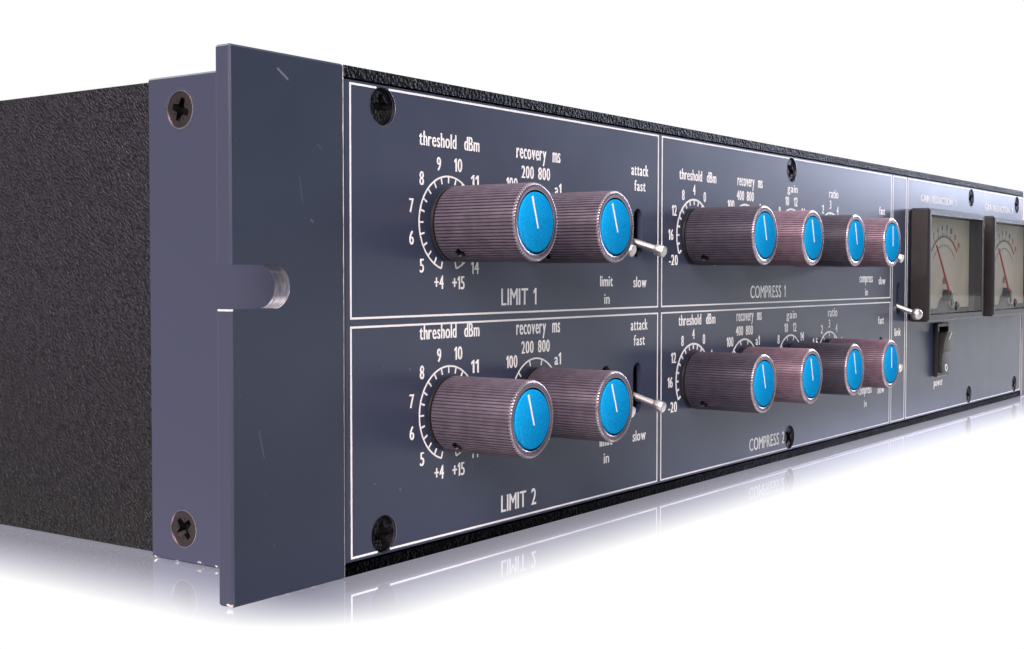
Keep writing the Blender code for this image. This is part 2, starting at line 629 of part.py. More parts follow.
def build():
    for obj in list(bpy.data.objects):
        bpy.data.objects.remove(obj, do_unlink=True)

    slate = material("slate_paint", (0.055, 0.063, 0.095), 0.42, 0.1)
    black = material("black_texture_paint", (0.012, 0.011, 0.012), 0.5)
    gray_knob = material("gray_knob", (0.10, 0.085, 0.09), 0.5, 0.3)
    mauve_knob = material("mauve_knob", (0.17, 0.11, 0.12), 0.5, 0.3)
    blue = material("blue_cap", (0.01, 0.23, 0.62), 0.4)
    steel = material("steel", (0.6, 0.58, 0.56), 0.3, 1.0)
    plastic = material("black_plastic", (0.015, 0.014, 0.015), 0.35)
    clear = material("clear_lens", (0.8, 0.85, 0.9), 0.05, 0.0, 0.3)
    red = material("needle_red", (0.6, 0.05, 0.03), 0.4)
    board = material("board_green", (0.02, 0.12, 0.05), 0.5)
    winding = material("winding_tape", (0.5, 0.3, 0.05), 0.5)
    nickel = material("nickel", (0.5, 0.5, 0.5), 0.3, 1.0)

    for side in ("left", "right"):
        ear_bracket(side, slate)
        side_plate(side, black)
    cover("bottom_cover", 0, black)
    cover("top_cover", HEIGHT - COVER_THICK, black)
    front_panel(slate)
    rear_panel(black)

    for channel, z in ROW_Z.items():
        for control, x in KNOB_X.items():
            extra = EXTRA_REACH.get(f"{control}_{channel}", 0.0)
            paint = mauve_knob if control in MAUVE_KNOBS else gray_knob
            knob(f"{control}_knob_{channel}", x, z, extra, paint)
            cap(f"{control}_cap_{channel}", x, z, extra, blue)
        for control, x in TOGGLE_X.items():
            lever(f"{control}_lever_{channel}", x, z, LEVER_TILT, toggle_grip(), steel)
    lever("link_lever", LINK_X, LINK_Z, LINK_TILT, ball_grip(), steel)
    power_switch(plastic, plastic)

    for number, left in enumerate(METER_LEFT, 1):
        meter(number, left, plastic, clear, red)

    for name, x in zip(SOCKET_NAMES, SOCKET_X):
        audio_socket(name, x, name.startswith("input"), nickel)
    mains_inlet(plastic)
    fuse_holder(plastic)

    control_board(board)
    channel_card(1, board)
    channel_card(2, board)
    supply_board(board)
    mains_transformer(winding)


build()
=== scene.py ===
"""Looks of the two-channel rack compressor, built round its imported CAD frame.

Sizes are millimetres.  at() takes a place as a distance from the left ear's
outer edge, a depth behind the ears' front faces and a height above the
underside.  Small pieces are made in their own frame: X to the right, Y up and
Z out of the face they sit on, and place() puts them on that face.
"""
import math

import bmesh
import bpy
from mathutils import Matrix, Vector


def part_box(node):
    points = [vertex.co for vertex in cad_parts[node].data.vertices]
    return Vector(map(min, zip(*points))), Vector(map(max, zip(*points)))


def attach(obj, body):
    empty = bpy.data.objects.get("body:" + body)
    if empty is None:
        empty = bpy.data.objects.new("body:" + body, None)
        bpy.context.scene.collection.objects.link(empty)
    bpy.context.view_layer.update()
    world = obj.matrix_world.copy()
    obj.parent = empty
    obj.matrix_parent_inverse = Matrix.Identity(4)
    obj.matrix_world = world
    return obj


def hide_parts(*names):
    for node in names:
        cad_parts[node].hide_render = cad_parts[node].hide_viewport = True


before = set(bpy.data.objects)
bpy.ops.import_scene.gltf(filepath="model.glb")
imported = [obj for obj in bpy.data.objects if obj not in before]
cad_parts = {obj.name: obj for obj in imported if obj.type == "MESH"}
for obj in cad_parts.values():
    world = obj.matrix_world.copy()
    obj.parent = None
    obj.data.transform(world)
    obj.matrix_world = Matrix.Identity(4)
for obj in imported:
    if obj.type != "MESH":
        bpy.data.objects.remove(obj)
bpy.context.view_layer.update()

MM = 0.001
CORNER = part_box("ear_bracket_left")[0]
FAR_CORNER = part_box("ear_bracket_right")[1]
WIDTH = (FAR_CORNER.x - CORNER.x) / MM
HEIGHT = (FAR_CORNER.z - CORNER.z) / MM
PANEL_FACE = (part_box("front_panel")[0].y - CORNER.y) / MM
REAR_FACE = (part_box("rear_panel")[1].y - CORNER.y) / MM


def at(x, y, z):
    """A place in the scene from millimetres across, deep and up."""
    return CORNER + Vector((x, y, z)) * MM


def middle(node):
    """The middle of a CAD node across and up the front, in millimetres."""
    low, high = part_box(node)
    centre = ((low + high) / 2 - CORNER) / MM
    return centre.x, centre.z


def depth(node):
    """The nearest and furthest depth of a CAD node, in millimetres."""
    low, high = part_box(node)
    return (low.y - CORNER.y) / MM, (high.y - CORNER.y) / MM


# Each face's own frame, as the directions of its X, Y and Z
FACES = {
    "front": ((1, 0, 0), (0, 0, 1), (0, -1, 0)),
    "rear": ((-1, 0, 0), (0, 0, 1), (0, 1, 0)),
    "left": ((0, -1, 0), (0, 0, 1), (-1, 0, 0)),
    "right": ((0, 1, 0), (0, 0, 1), (1, 0, 0)),
    "top": ((1, 0, 0), (0, 1, 0), (0, 0, 1)),
    "under": ((-1, 0, 0), (0, 1, 0), (0, 0, -1)),
}


def place(face, point, turn=0.0):
    """Where a piece made in its own frame goes; turn is degrees, anticlockwise seen from outside."""
    across, up, out = (Vector(direction) for direction in FACES[face])
    frame_of_face = Matrix((across, up, out)).transposed().to_4x4()
    spin = Matrix.Rotation(math.radians(turn), 4, "Z")
    return Matrix.Translation(point) @ frame_of_face @ spin


# --- mesh tools ---------------------------------------------------------------

def polar(radius, turn):
    """A place by its radius and its angle in radians, anticlockwise from X."""
    return radius * math.cos(turn), radius * math.sin(turn)


def circle(radius, height, sides):
    """A ring of points about Z."""
    return [Vector((*polar(radius, 2 * math.pi * step / sides), height)) for step in range(sides)]


def turned(points, turn):
    """Points in the XY plane, turned about the middle."""
    sine, cosine = math.sin(turn), math.cos(turn)
    return [(x * cosine - y * sine, x * sine + y * cosine) for x, y in points]


def skin(bm, rings, index=0):
    """Join rings of points that go from back to front, and close both ends."""
    loops = [[bm.verts.new(point) for point in ring] for ring in rings]
    faces = [bm.faces.new(loops[0][::-1]), bm.faces.new(loops[-1])]
    sides = len(loops[0])
    for loop, next_loop in zip(loops, loops[1:]):
        for step in range(sides):
            after = (step + 1) % sides
            faces.append(bm.faces.new((loop[step], loop[after], next_loop[after], next_loop[step])))
    for face in faces:
        face.material_index = index
    return bm


def lathe(bm, profile, sides=48, index=0, centre=(0.0, 0.0)):
    """A solid turned about Z from (radius, height) points, back to front."""
    shift = Vector((*centre, 0))
    rings = [[point + shift for point in circle(radius, height, sides)] for radius, height in profile]
    return skin(bm, rings, index)


def prism(bm, outline, low, high, index=0):
    """An outline in the XY plane, filled between two heights."""
    return skin(bm, [[Vector((x, y, height)) for x, y in outline] for height in (low, high)], index)


def slab(bm, x0, x1, y0, y1, low, high, index=0):
    """A block by its limits on each axis."""
    return prism(bm, [(x0, y0), (x1, y0), (x1, y1), (x0, y1)], low, high, index)


def rounded_outline(width, height, corner, steps=5):
    """A rectangle with round corners, about the middle, anticlockwise."""
    points = []
    for quarter, (side, rise) in enumerate(((1, 1), (-1, 1), (-1, -1), (1, -1))):
        for step in range(steps + 1):
            x, y = polar(corner, math.pi / 2 * (quarter + step / steps))
            points.append((side * (width / 2 - corner) + x, rise * (height / 2 - corner) + y))
    return points


def merge(bm, other):
    """Add one mesh to another."""
    mesh = bpy.data.meshes.new("merged")
    other.to_mesh(mesh)
    other.free()
    bm.from_mesh(mesh)


MOST_MATERIALS = 5             # how many of a mesh's material indexes come through a cut


def cut(bm, cutter):
    """Cut one closed mesh out of another and return the result."""
    holders = []
    for part in (bm, cutter):
        bmesh.ops.recalc_face_normals(part, faces=part.faces)
        mesh = bpy.data.meshes.new("cut")
        part.to_mesh(mesh)
        part.free()
        for _ in range(MOST_MATERIALS):
            mesh.materials.append(None)
        holders.append(bpy.data.objects.new("cut", mesh))
        bpy.context.scene.collection.objects.link(holders[-1])
    modifier = holders[0].modifiers.new("cut", "BOOLEAN")
    modifier.object = holders[1]
    modifier.operation = "DIFFERENCE"
    modifier.solver = "EXACT"
    bpy.context.view_layer.update()
    result = bmesh.new()
    result.from_object(holders[0], bpy.context.evaluated_depsgraph_get())
    for holder in holders:
        mesh = holder.data
        bpy.data.objects.remove(holder)
        bpy.data.meshes.remove(mesh)
    return result


def finish_mesh(name, bm, materials, smooth=35.0):
    """Turn a piece made in millimetres into a mesh in metres."""
    bmesh.ops.recalc_face_normals(bm, faces=bm.faces)
    bmesh.ops.scale(bm, vec=(MM, MM, MM), verts=bm.verts)
    mesh = bpy.data.meshes.new(name)
    bm.to_mesh(mesh)
    bm.free()
    for material in materials:
        mesh.materials.append(material)
    mesh.shade_smooth()
    mesh.set_sharp_from_angle(angle=math.radians(smooth))
    return mesh


def add_piece(name, mesh, where, body="root", stands_for=()):
    """Show a mesh as a piece that rides a body; stands_for names the CAD nodes it takes the place of."""
    piece = bpy.data.objects.new(name, mesh)
    bpy.context.scene.collection.objects.link(piece)
    piece.matrix_world = where
    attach(piece, body)
    if stands_for:
        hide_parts(*stands_for)


# --- materials ----------------------------------------------------------------

def srgb(red, green, blue):
    """A colour given as 0 to 255 values, made linear."""
    def linear(value):
        value /= 255
        return value / 12.92 if value <= 0.04045 else ((value + 0.055) / 1.055) ** 2.4
    return (linear(red), linear(green), linear(blue), 1.0)


def shade(colour, factor):
    """A colour made darker or lighter."""
    return [part * factor for part in colour[:3]] + [1]


class Graph:
    """One material and the nodes that are added to it."""

    def __init__(self, name, **settings):
        self.material = bpy.data.materials.new(name)
        self.material.use_nodes = True
        self.tree = self.material.node_tree
        self.shader = self.tree.nodes["Principled BSDF"]
        self.coords = self.add("TexCoord").outputs["Object"]
        for socket, value in settings.items():
            self.set(self.shader, socket, value)

    def set(self, node, socket, value):
        target = node.inputs[socket if isinstance(socket, int) else socket.replace("_", " ")]
        if isinstance(value, bpy.types.NodeSocket):
            self.tree.links.new(value, target)
        else:
            target.default_value = value

    def add(self, kind, options=None, **sockets):
        node = self.tree.nodes.new("ShaderNode" + kind)
        for option, value in (options or {}).items():
            setattr(node, option, value)
        for socket, value in sockets.items():
            self.set(node, socket, value)
        return node

    def operate(self, kind, operation, values, output=0):
        node = self.add(kind, {"operation": operation})
        for index, value in enumerate(values):
            self.set(node, index, value)
        return node.outputs[output]

    def math(self, operation, *values):
        return self.operate("Math", operation, values)

    def vector(self, operation, *values, output="Vector"):
        return self.operate("VectorMath", operation, values, output)

    def product(self, first, *others):
        for other in others:
            first = self.math("MULTIPLY", first, other)
        return first

    def axes(self, vector=None):
        """The X, Y and Z of a vector, or of a point's place on the object."""
        return self.add("SeparateXYZ", None, Vector=vector or self.coords).outputs

    def joined(self, **parts):
        return self.add("CombineXYZ", None, **parts).outputs[0]

    def stretched(self, scale, turn=(0, 0, 0), source=None):
        """Coordinates that are scaled first and then turned."""
        node = self.add("Mapping", None, Vector=source or self.coords, Scale=scale)
        node.inputs["Rotation"].default_value = [math.radians(angle) for angle in turn]
        return node.outputs["Vector"]

    def noise(self, scale, detail=3.0, roughness=0.5, vector=None):
        return self.add("TexNoise", None, Vector=vector or self.coords, Scale=scale, Detail=detail,
                        Roughness=roughness).outputs["Fac"]

    def cells(self, scale, vector=None, feature="F1"):
        node = self.add("TexVoronoi", {"feature": feature}, Vector=vector or self.coords, Scale=scale)
        return node.outputs["Distance"]

    def fit(self, value, low, high, to_low=0.0, to_high=1.0):
        """Map low..high to to_low..to_high, and hold it there outside."""
        return self.add("MapRange", {"clamp": True}, Value=value, From_Min=low, From_Max=high, To_Min=to_low,
                        To_Max=to_high).outputs["Result"]

    def mix(self, share, first, second):
        """Blend two colours."""
        node = self.add("Mix", {"data_type": "RGBA"})
        for socket, value in ((0, share), (6, first), (7, second)):
            self.set(node, socket, value)
        return node.outputs[2]

    def mottled(self, scale, detail, first, second):
        """Two colours in soft clouds."""
        return self.mix(self.fit(self.noise(scale, detail), 0.3, 0.7), first, second)

    def specks(self, size, small, large, patches, low, high, share):
        """Round specks that lie only where a coarser noise is high."""
        return self.product(self.fit(self.cells(size), small, large, 1.0, 0.0),
                            self.fit(self.noise(patches, 1), low, high, 0.0, share))

    def bump(self, height, rise):
        """A bump whose full height is rise millimetres."""
        return self.add("Bump", None, Strength=1.0, Distance=rise * MM, Height=height).outputs["Normal"]

    def finish(self, base, rough, normal=None):
        self.set(self.shader, "Base Color", base)
        self.set(self.shader, "Roughness", rough)
        if normal:
            self.set(self.shader, "Normal", normal)
        return self.material


SLOT_SHADE_DEPTHS = (0.9, 1.5)         # painted shade: from how deep a toggle's slot is dark, and where it is black
SLOT_SHADE_BLACK = (0.001, 0.001, 0.001, 1)
BLACK = (0, 0, 0, 1)


def paint_material(name, colour, worn=False, marked=True, slotted=False):
    """Satin enamel with a faint orange peel, dust and hairline scratches; painted shade deep in the toggle
    slots; on the ears, worn edges with painted highlights, a painted warm tint on faces turned to the sides,
    and the notch's bare metal kept to the bottom of its arc as a painted glint.
    """
    g = Graph(name, Metallic=0.0, IOR=1.5)
    base = g.mottled(28, 4, shade(colour, 0.93), shade(colour, 1.07))
    base = g.mix(g.specks(330, 0.05, 0.09, 170, 0.62, 0.66, 0.35), base, srgb(150, 155, 170))
    for start, end, width, strength in SCRATCHES if marked else ():
        base = g.mix(g.product(scratch(g, start, end, width), strength), base, srgb(136, 138, 152))
    normal = g.bump(g.noise(2600, 2), 0.006)
    if slotted:
        # Painted shade: deeper inside the toggle slots the paint turns black.
        begins, ends = (at(0, PANEL_FACE + deep, 0).y for deep in SLOT_SHADE_DEPTHS)
        base = g.mix(g.fit(g.axes()["Y"], begins, ends), base, SLOT_SHADE_BLACK)
    if worn:
        # Painted light: faces turned to the sides take a warmer tint, the tint of the light from the left.
        facing = g.math("ABSOLUTE", g.axes(g.add("NewGeometry").outputs["Normal"])["X"])
        base = g.mix(g.fit(facing, 0.6, 0.8), base, FLANGE_LIT_TINT)
        # Bare metal worn at the edges, with painted highlights on the ear's outer edge and the notch's lip.
        base = g.mix(edge_wear_and_glints(g), base, srgb(250, 244, 240))
        bare_and_glint, wall, toward = notch_wear_and_glint(g)
        base = g.mix(g.product(wall, 0.7), base, srgb(66, 68, 82))
        # The notch's bare metal: wear, placed at the bottom of the arc as a painted glint.
        base = g.mix(bare_and_glint, base, srgb(240, 238, 244))
        g.set(g.shader, "Metallic", bare_and_glint)
        round_wall = g.add("Mix", {"data_type": "VECTOR"})
        for socket, value in ((0, wall), (4, normal), (5, toward)):
            g.set(round_wall, socket, value)
        normal = round_wall.outputs[1]
    return g.finish(base, g.fit(g.noise(90, 3), 0.25, 0.75, 0.275, 0.325), normal)


# Scratches as (start, end, width, strength), in millimetres across and up the front
SCRATCHES = (
    ((10.4, 85.4), (12.6, 84.0), 0.26, 0.8),
    ((15.2, 68.6), (15.9, 64.2), 0.10, 0.3),
    ((17.9, 61.4), (18.3, 61.1), 0.26, 0.4),
    ((5.8, 27.4), (6.9, 23.0), 0.14, 0.35),
    ((19.5, 74.0), (20.6, 73.2), 0.12, 0.35),
    ((101.0, 70.2), (101.5, 69.9), 0.22, 0.5),
    ((62.6, 16.2), (62.9, 14.3), 0.10, 0.5),
    ((41.0, 13.6), (41.2, 13.3), 0.26, 0.5),
)


def scratch(g, start, end, width):
    """How much of the paint a straight scratch takes off, by the distance from its middle line."""
    first, last = at(start[0], 0, start[1]), at(end[0], 0, end[1])
    along = last - first
    step = along / along.length_squared
    offset = g.vector("SUBTRACT", g.vector("MULTIPLY", g.coords, (1, 0, 1)), (first.x, 0, first.z))
    share = g.vector("DOT_PRODUCT", offset, (step.x, 0, step.z), output="Value")
    share = g.math("MINIMUM", g.math("MAXIMUM", share, 0.0), 1.0)
    foot = g.vector("MULTIPLY", g.joined(X=share, Y=share, Z=share), (along.x, 0, along.z))
    gap = g.vector("DISTANCE", offset, foot, output="Value")
    in_front = g.fit(g.axes()["Y"], at(0, 0.6, 0).y, at(0, 0.8, 0).y, 0.8, 0.0)
    return g.product(g.fit(gap, width * MM * 0.3, width * MM, 1.0, 0.0), in_front)


EAR_WIDE = 26.2
NOTCH_X = 9.3                  # the middle of the rack notch's round end
NOTCH_Z = 50.4
NOTCH_R = 3.5


def edge_wear_and_glints(g):
    """Bare metal where hands and racks rub, by the panel, and chips along the foot; and painted highlights: a
    faint light strip on the ear's outer edge face and a painted glint along the notch's bottom lip.
    """
    place_of = g.axes()
    sideways, up = g.math("ABSOLUTE", place_of["X"]), place_of["Z"]
    outer, inner, lip_z = -at(0, 0, 0).x, -at(EAR_WIDE, 0, 0).x, at(0, 0, NOTCH_Z - NOTCH_R).z
    ragged = g.math("MULTIPLY_ADD", g.noise(330, 4, 0.7), 0.0005, 0.0002)
    past = g.math("SUBTRACT", g.math("ABSOLUTE", g.math("SUBTRACT", sideways, inner)), ragged)
    rub = g.product(g.fit(past, 0.0, 0.00008, 1.0, 0.0), g.fit(up, at(0, 0, 30).z, at(0, 0, 62).z, 0.35, 1.0))
    chips = g.product(g.fit(up, at(0, 0, 0.3).z, at(0, 0, 0.9).z, 1.0, 0.0),
                      g.fit(g.noise(420, 3), 0.6, 0.66))
    # Painted highlight: a faint light strip on the ear's outer edge face, towards its back.
    band = g.product(g.fit(sideways, outer - 0.0004, outer - 0.0002),
                     g.fit(place_of["Y"], at(0, 2.95, 0).y, at(0, 3.2, 0).y, 0.0, 0.105))
    # Painted glint: a thin bright line along the notch's bottom lip at the outer edge.
    lip = g.product(g.fit(up, lip_z - 0.00035, lip_z - 0.00025),
                    g.fit(up, lip_z + 0.0001, lip_z + 0.0002, 1.0, 0.0),
                    g.fit(sideways, outer - 0.0006, outer - 0.0003, 0.0, 0.5))
    return g.math("MAXIMUM", g.math("MAXIMUM", rub, chips), g.math("MAXIMUM", band, lip))


def notch_wear_and_glint(g):
    """The round end of the rack notch: its share of bare metal, its wall, and the wall's true direction. The
    bare metal is wear kept mostly to the bottom of the arc, where it catches the light: partly a painted
    glint.
    """
    place_of = g.axes()
    across = g.math("SUBTRACT", g.math("ABSOLUTE", place_of["X"]), -at(NOTCH_X, 0, 0).x)
    up = g.math("SUBTRACT", place_of["Z"], at(0, 0, NOTCH_Z).z)
    from_notch = g.vector("LENGTH", g.joined(X=across, Y=up), output="Value")
    near = g.fit(from_notch, (NOTCH_R + 0.02) * MM, (NOTCH_R + 0.12) * MM, 1.0, 0.0)
    wall = g.product(near, g.fit(across, 0.0, -0.0002))
    inward = g.product(across, g.math("SIGN", place_of["X"]), -1.0)
    toward = g.vector("NORMALIZE", g.joined(X=inward, Z=g.product(up, -1.0)))
    streaks = g.fit(g.noise(450, 4, 0.7, g.stretched((1, 6, 1))), 0.38, 0.6, 0.2, 1.0)
    # Painted light: bare metal mostly at the bottom of the arc, so the wall glints there and stays painted,
    # darker, above.
    lower = g.fit(up, -0.45 * NOTCH_R * MM, -0.75 * NOTCH_R * MM, 0.14, 1.0)
    return g.product(wall, streaks, lower), wall, toward


def wrinkle_material(name, dark, light, shine, size=1350, rise=0.25, finer=(1, 1), lean=0):
    """Black wrinkle enamel, darkened towards the bottom as painted shade; finer is how much finer it is along
    Y and Z, and lean its degrees about X.
    """
    g = Graph(name, IOR=1.5, Specular_IOR_Level=shine)
    drift = g.add("TexNoise", None, Vector=g.coords, Scale=420.0, Detail=1.0).outputs["Color"]
    wander = g.vector("MULTIPLY_ADD", drift, (0.0007, 0.0007, 0.0007), g.coords)
    ridges = g.stretched((1, *finer), source=g.stretched((1, 1, 1), (lean, 0, 0), wander))
    pebbles = g.fit(g.cells(size, ridges, "SMOOTH_F1"), 0.1, 0.7, 1.0, 0.0)
    height = g.math("ADD", g.product(pebbles, 0.7), g.product(g.noise(size * 1.5, 1, vector=ridges), 0.6))
    # Painted shade: the paint goes towards black near the bottom of the case.
    low_painted_shade = g.fit(g.axes()["Z"], at(0, 0, 0).z, at(0, 0, 50).z, 0.88, 0.0)
    base = g.mix(low_painted_shade, g.mix(g.fit(height, 0.5, 1.0), dark, light), BLACK)
    return g.finish(base, g.fit(g.noise(300, 2), 0.3, 0.7, 0.4, 0.52), g.bump(height, rise))


def anodised_material(name, colour):
    """Dyed aluminium with fine lathe lines, and dust in its grooves."""
    g = Graph(name, Metallic=0.45)
    place_of = g.axes()
    reach = g.vector("LENGTH", g.joined(X=place_of["X"], Y=place_of["Y"]), output="Value")
    lines = g.noise(9000, 1, vector=g.joined(X=reach, Y=place_of["Z"]))
    tint = g.mottled(500, 4, shade(colour, 0.8), shade(colour, 1.2))
    base = g.mix(g.specks(1100, 0.08, 0.14, 420, 0.56, 0.6, 0.35), tint, srgb(190, 180, 180))
    return g.finish(base, g.fit(lines, 0.3, 0.7, 0.36, 0.46), g.bump(lines, 0.004))


def cap_material():
    """Blue moulded plastic, lightly speckled and finely scratched."""
    g = Graph("cap_blue", Metallic=0.0, IOR=1.49, Specular_IOR_Level=0.0)
    speckle = g.noise(3400, 2, 0.7)
    blue = g.mix(g.fit(speckle, 0.32, 0.68), srgb(10, 136, 204), srgb(24, 168, 232))
    blue = g.mix(g.specks(1900, 0.06, 0.12, 900, 0.55, 0.6, 0.5), blue, srgb(120, 200, 235))
    rubs = g.fit(g.noise(110, 2, vector=g.stretched((22, 0.7, 1), (0, 0, 33))), 0.7, 0.74, 0.0, 0.25)
    rough = g.fit(g.noise(700, 2), 0.3, 0.7, 0.32, 0.46)
    return g.finish(g.mix(rubs, blue, srgb(130, 195, 230)), rough, g.bump(speckle, 0.008))


def metal_material(name, colour, rough, grain=(1, 1, 14)):
    """Plated or machined metal with a fine grain across one direction."""
    g = Graph(name, Metallic=1.0)
    lines = g.noise(1500, 2, vector=g.stretched(grain))
    tint = g.mottled(260, 3, shade(colour, 0.8), colour)
    return g.finish(tint, g.fit(lines, 0.25, 0.75, rough - 0.06, rough + 0.08), g.bump(lines, 0.003))


def plastic_material(name, colour, rough=0.38, texture=0.02, shine=0.5):
    """Moulded plastic with a fine spark-eroded texture and a little dust."""
    g = Graph(name, Metallic=0.0, IOR=1.5, Specular_IOR_Level=shine)
    tint = g.mottled(60, 3, shade(colour, 0.85), colour)
    base = g.mix(g.specks(700, 0.05, 0.1, 300, 0.58, 0.62, 0.25), tint, srgb(150, 148, 150))
    rough = g.fit(g.noise(400, 3), 0.25, 0.75, rough - 0.05, rough + 0.07)
    return g.finish(base, rough, g.bump(g.noise(2200, 3, 0.6), texture))


def ink_material(name, colour):
    """Screen-printed ink: slightly uneven in tone, with a few pinholes."""
    g = Graph(name, Metallic=0.0, IOR=1.48)
    worn = g.fit(g.noise(2300, 4, 0.7), 0.28, 0.42)
    return g.finish(g.mix(worn, shade(colour, 0.72), colour), g.fit(g.noise(900, 2), 0.3, 0.7, 0.45, 0.6))


def lens_material():
    """Clear acrylic with faint rubbing marks on its gloss, as a film so that light reaches the dial."""
    g = Graph("meter_acrylic", IOR=1.8, Alpha=0.22)
    marks = g.noise(90, 3, vector=g.stretched((1, 1, 9), (0, 30, 0)))
    return g.finish(srgb(40, 44, 50), g.fit(marks, 0.35, 0.8, 0.02, 0.09))


def board_material():
    """Green laminate with copper runs under the lacquer and pale solder dots."""
    g = Graph("board_laminate", IOR=1.5)
    runs = g.fit(g.cells(160, feature="DISTANCE_TO_EDGE"), 0.02, 0.05)
    dots = g.fit(g.cells(230), 0.1, 0.14, 1.0, 0.0)
    base = g.mix(dots, g.mix(runs, srgb(52, 110, 62), srgb(22, 70, 40)), srgb(178, 178, 170))
    return g.finish(base, g.fit(dots, 0.0, 1.0, 0.45, 0.3), g.bump(runs, 0.05))


def winding_material():
    """Overlapping turns of amber tape."""
    g = Graph("winding_tape", IOR=1.5)
    bands = g.add("TexWave", {"wave_type": "RINGS", "rings_direction": "Z"}, Vector=g.coords, Scale=60.0,
                  Distortion=1.2).outputs["Fac"]
    base = g.mix(bands, srgb(196, 140, 44), srgb(226, 180, 84))
    return g.finish(base, g.fit(bands, 0.0, 1.0, 0.3, 0.45), g.bump(bands, 0.2))


EAR_COLOUR = srgb(45, 54, 74)
# Painted light: the ears' paint on faces turned to the sides, tinted warmer by the light from the left.
FLANGE_LIT_TINT = srgb(52, 56, 74)
slate = paint_material("slate_panel_paint", srgb(57, 65, 87), slotted=True)
slate_ear = paint_material("slate_ear_paint", EAR_COLOUR, worn=True)
# The countersink seats on the sides carry the same painted side-lit tint.
slate_side_lit = paint_material("slate_side_lit_paint", FLANGE_LIT_TINT, marked=False)
wrinkle = wrinkle_material("black_wrinkle_paint", srgb(1, 1, 2), srgb(17, 17, 21), 0.13, rise=0.42)
# Painted shade: a darker, duller copy of the wrinkle paint for the bottom cover.
wrinkle_shaded = wrinkle_material("black_wrinkle_painted_shade", srgb(1, 1, 2), srgb(8, 7, 10), 0.015)
wrinkle_side = wrinkle_material("black_wrinkle_side", srgb(8, 6, 12), srgb(40, 36, 52), 0.25, 1550, 0.42,
                                (0.9, 1.9), -40)
gray_tube = anodised_material("anodised_brown_gray", srgb(101, 93, 106))
dark_tube = anodised_material("anodised_dark_gray", srgb(78, 74, 87))
mauve_tube = anodised_material("anodised_mauve", srgb(128, 108, 122))
rim_metal = metal_material("rim_bare_edge", srgb(204, 194, 202), 0.3)
rim_face = metal_material("rim_face", srgb(138, 124, 136), 0.27, (1, 1, 1))
dull_rim = metal_material("countersink_edge", srgb(120, 116, 128), 0.35)
cap_blue = cap_material()
steel = metal_material("plated_steel", srgb(205, 203, 200), 0.24)
lever_metal = metal_material("lever_satin_plate", srgb(226, 222, 220), 0.4)
nickel = metal_material("nickel_casting", srgb(178, 178, 178), 0.3, (1, 1, 1))
gold = metal_material("gold_contact", srgb(226, 182, 96), 0.25)
zinc = metal_material("zinc_screw", srgb(176, 174, 168), 0.32, (6, 1, 1))
black_steel = plastic_material("black_oxide_steel", srgb(4, 3, 4), 0.28, 0.16, 0.09)
# Near black for the deep faces of screw recesses: painted shade.
recess_painted_shade = plastic_material("recess_painted_shade", srgb(3, 2, 3), 0.5, 0.02, 0.15)
brown_steel = metal_material("brown_oxide_steel", srgb(104, 94, 94), 0.36, (3, 3, 3))
black_plastic = plastic_material("black_moulding", srgb(34, 31, 32), 0.36)
dark_plastic = plastic_material("insert_moulding", srgb(24, 24, 26), 0.5)
dial_card = plastic_material("dial_card", srgb(232, 226, 206), 0.6, 0.01)
needle_red = plastic_material("needle_enamel", srgb(190, 34, 24), 0.35, 0.004)
white_ink = ink_material("white_ink", srgb(252, 252, 252))
black_ink = ink_material("black_ink", srgb(26, 26, 28))
red_ink = ink_material("red_ink", srgb(180, 40, 32))
lens = lens_material()
board = board_material()
winding = winding_material()

# How the names of the CAD nodes that stay begin, and what they are made of
CAD_MATERIALS = {
    "ear_bracket": slate_ear,
    "front_panel": slate,
    "side_plate": wrinkle_side,
    "top_cover": wrinkle,
    "bottom_cover": wrinkle_shaded,
    "rear_panel": wrinkle,
    "power_switch_bezel": black_plastic,
    "power_rocker": black_plastic,
    "input_socket": nickel,
    "output_socket": nickel,
    "mains_inlet": black_plastic,
    "fuse_holder": black_plastic,
    "control_board": board,
    "channel_card": board,
    "power_supply_board": board,
    "mains_transformer": winding,
    "meter_1_case": black_plastic,
    "meter_2_case": black_plastic,
    "meter_1_lens": lens,
    "meter_2_lens": lens,
}


def cad_materials():
    """Give each CAD node that stays its finish."""
    for name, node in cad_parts.items():
        for start, material in CAD_MATERIALS.items():
            if name.startswith(start):
                node.data.materials.clear()
                node.data.materials.append(material)


# --- stage --------------------------------------------------------------------

CAMERA_PLACE = (-146.06, -157.01, 52.45)
CAMERA_YAW = 35.319
CAMERA_PITCH = -2.138
CAMERA_ROLL = 0.05
CAMERA_LENS = 47.50


def make_camera():
    """The viewpoint: low, and out to the left of the front."""
    yaw, pitch, roll = (math.radians(angle) for angle in (CAMERA_YAW, CAMERA_PITCH, CAMERA_ROLL))
    forward = Vector((math.cos(yaw) * math.cos(pitch), math.sin(yaw) * math.cos(pitch), math.sin(pitch)))
    level = Vector((math.sin(yaw), -math.cos(yaw), 0))
    upright = level.cross(forward)
    across = level * math.cos(roll) + upright * math.sin(roll)
    up = upright * math.cos(roll) - level * math.sin(roll)
    data = bpy.data.cameras.new("camera")
    data.lens = CAMERA_LENS
    data.sensor_width = 36.0
    data.clip_start = 0.01
    camera = bpy.data.objects.new("camera", data)
    bpy.context.scene.collection.objects.link(camera)
    turn = Matrix((across, up, -forward)).transposed().to_4x4()
    camera.matrix_world = Matrix.Translation(at(*CAMERA_PLACE)) @ turn
    bpy.context.scene.camera = camera


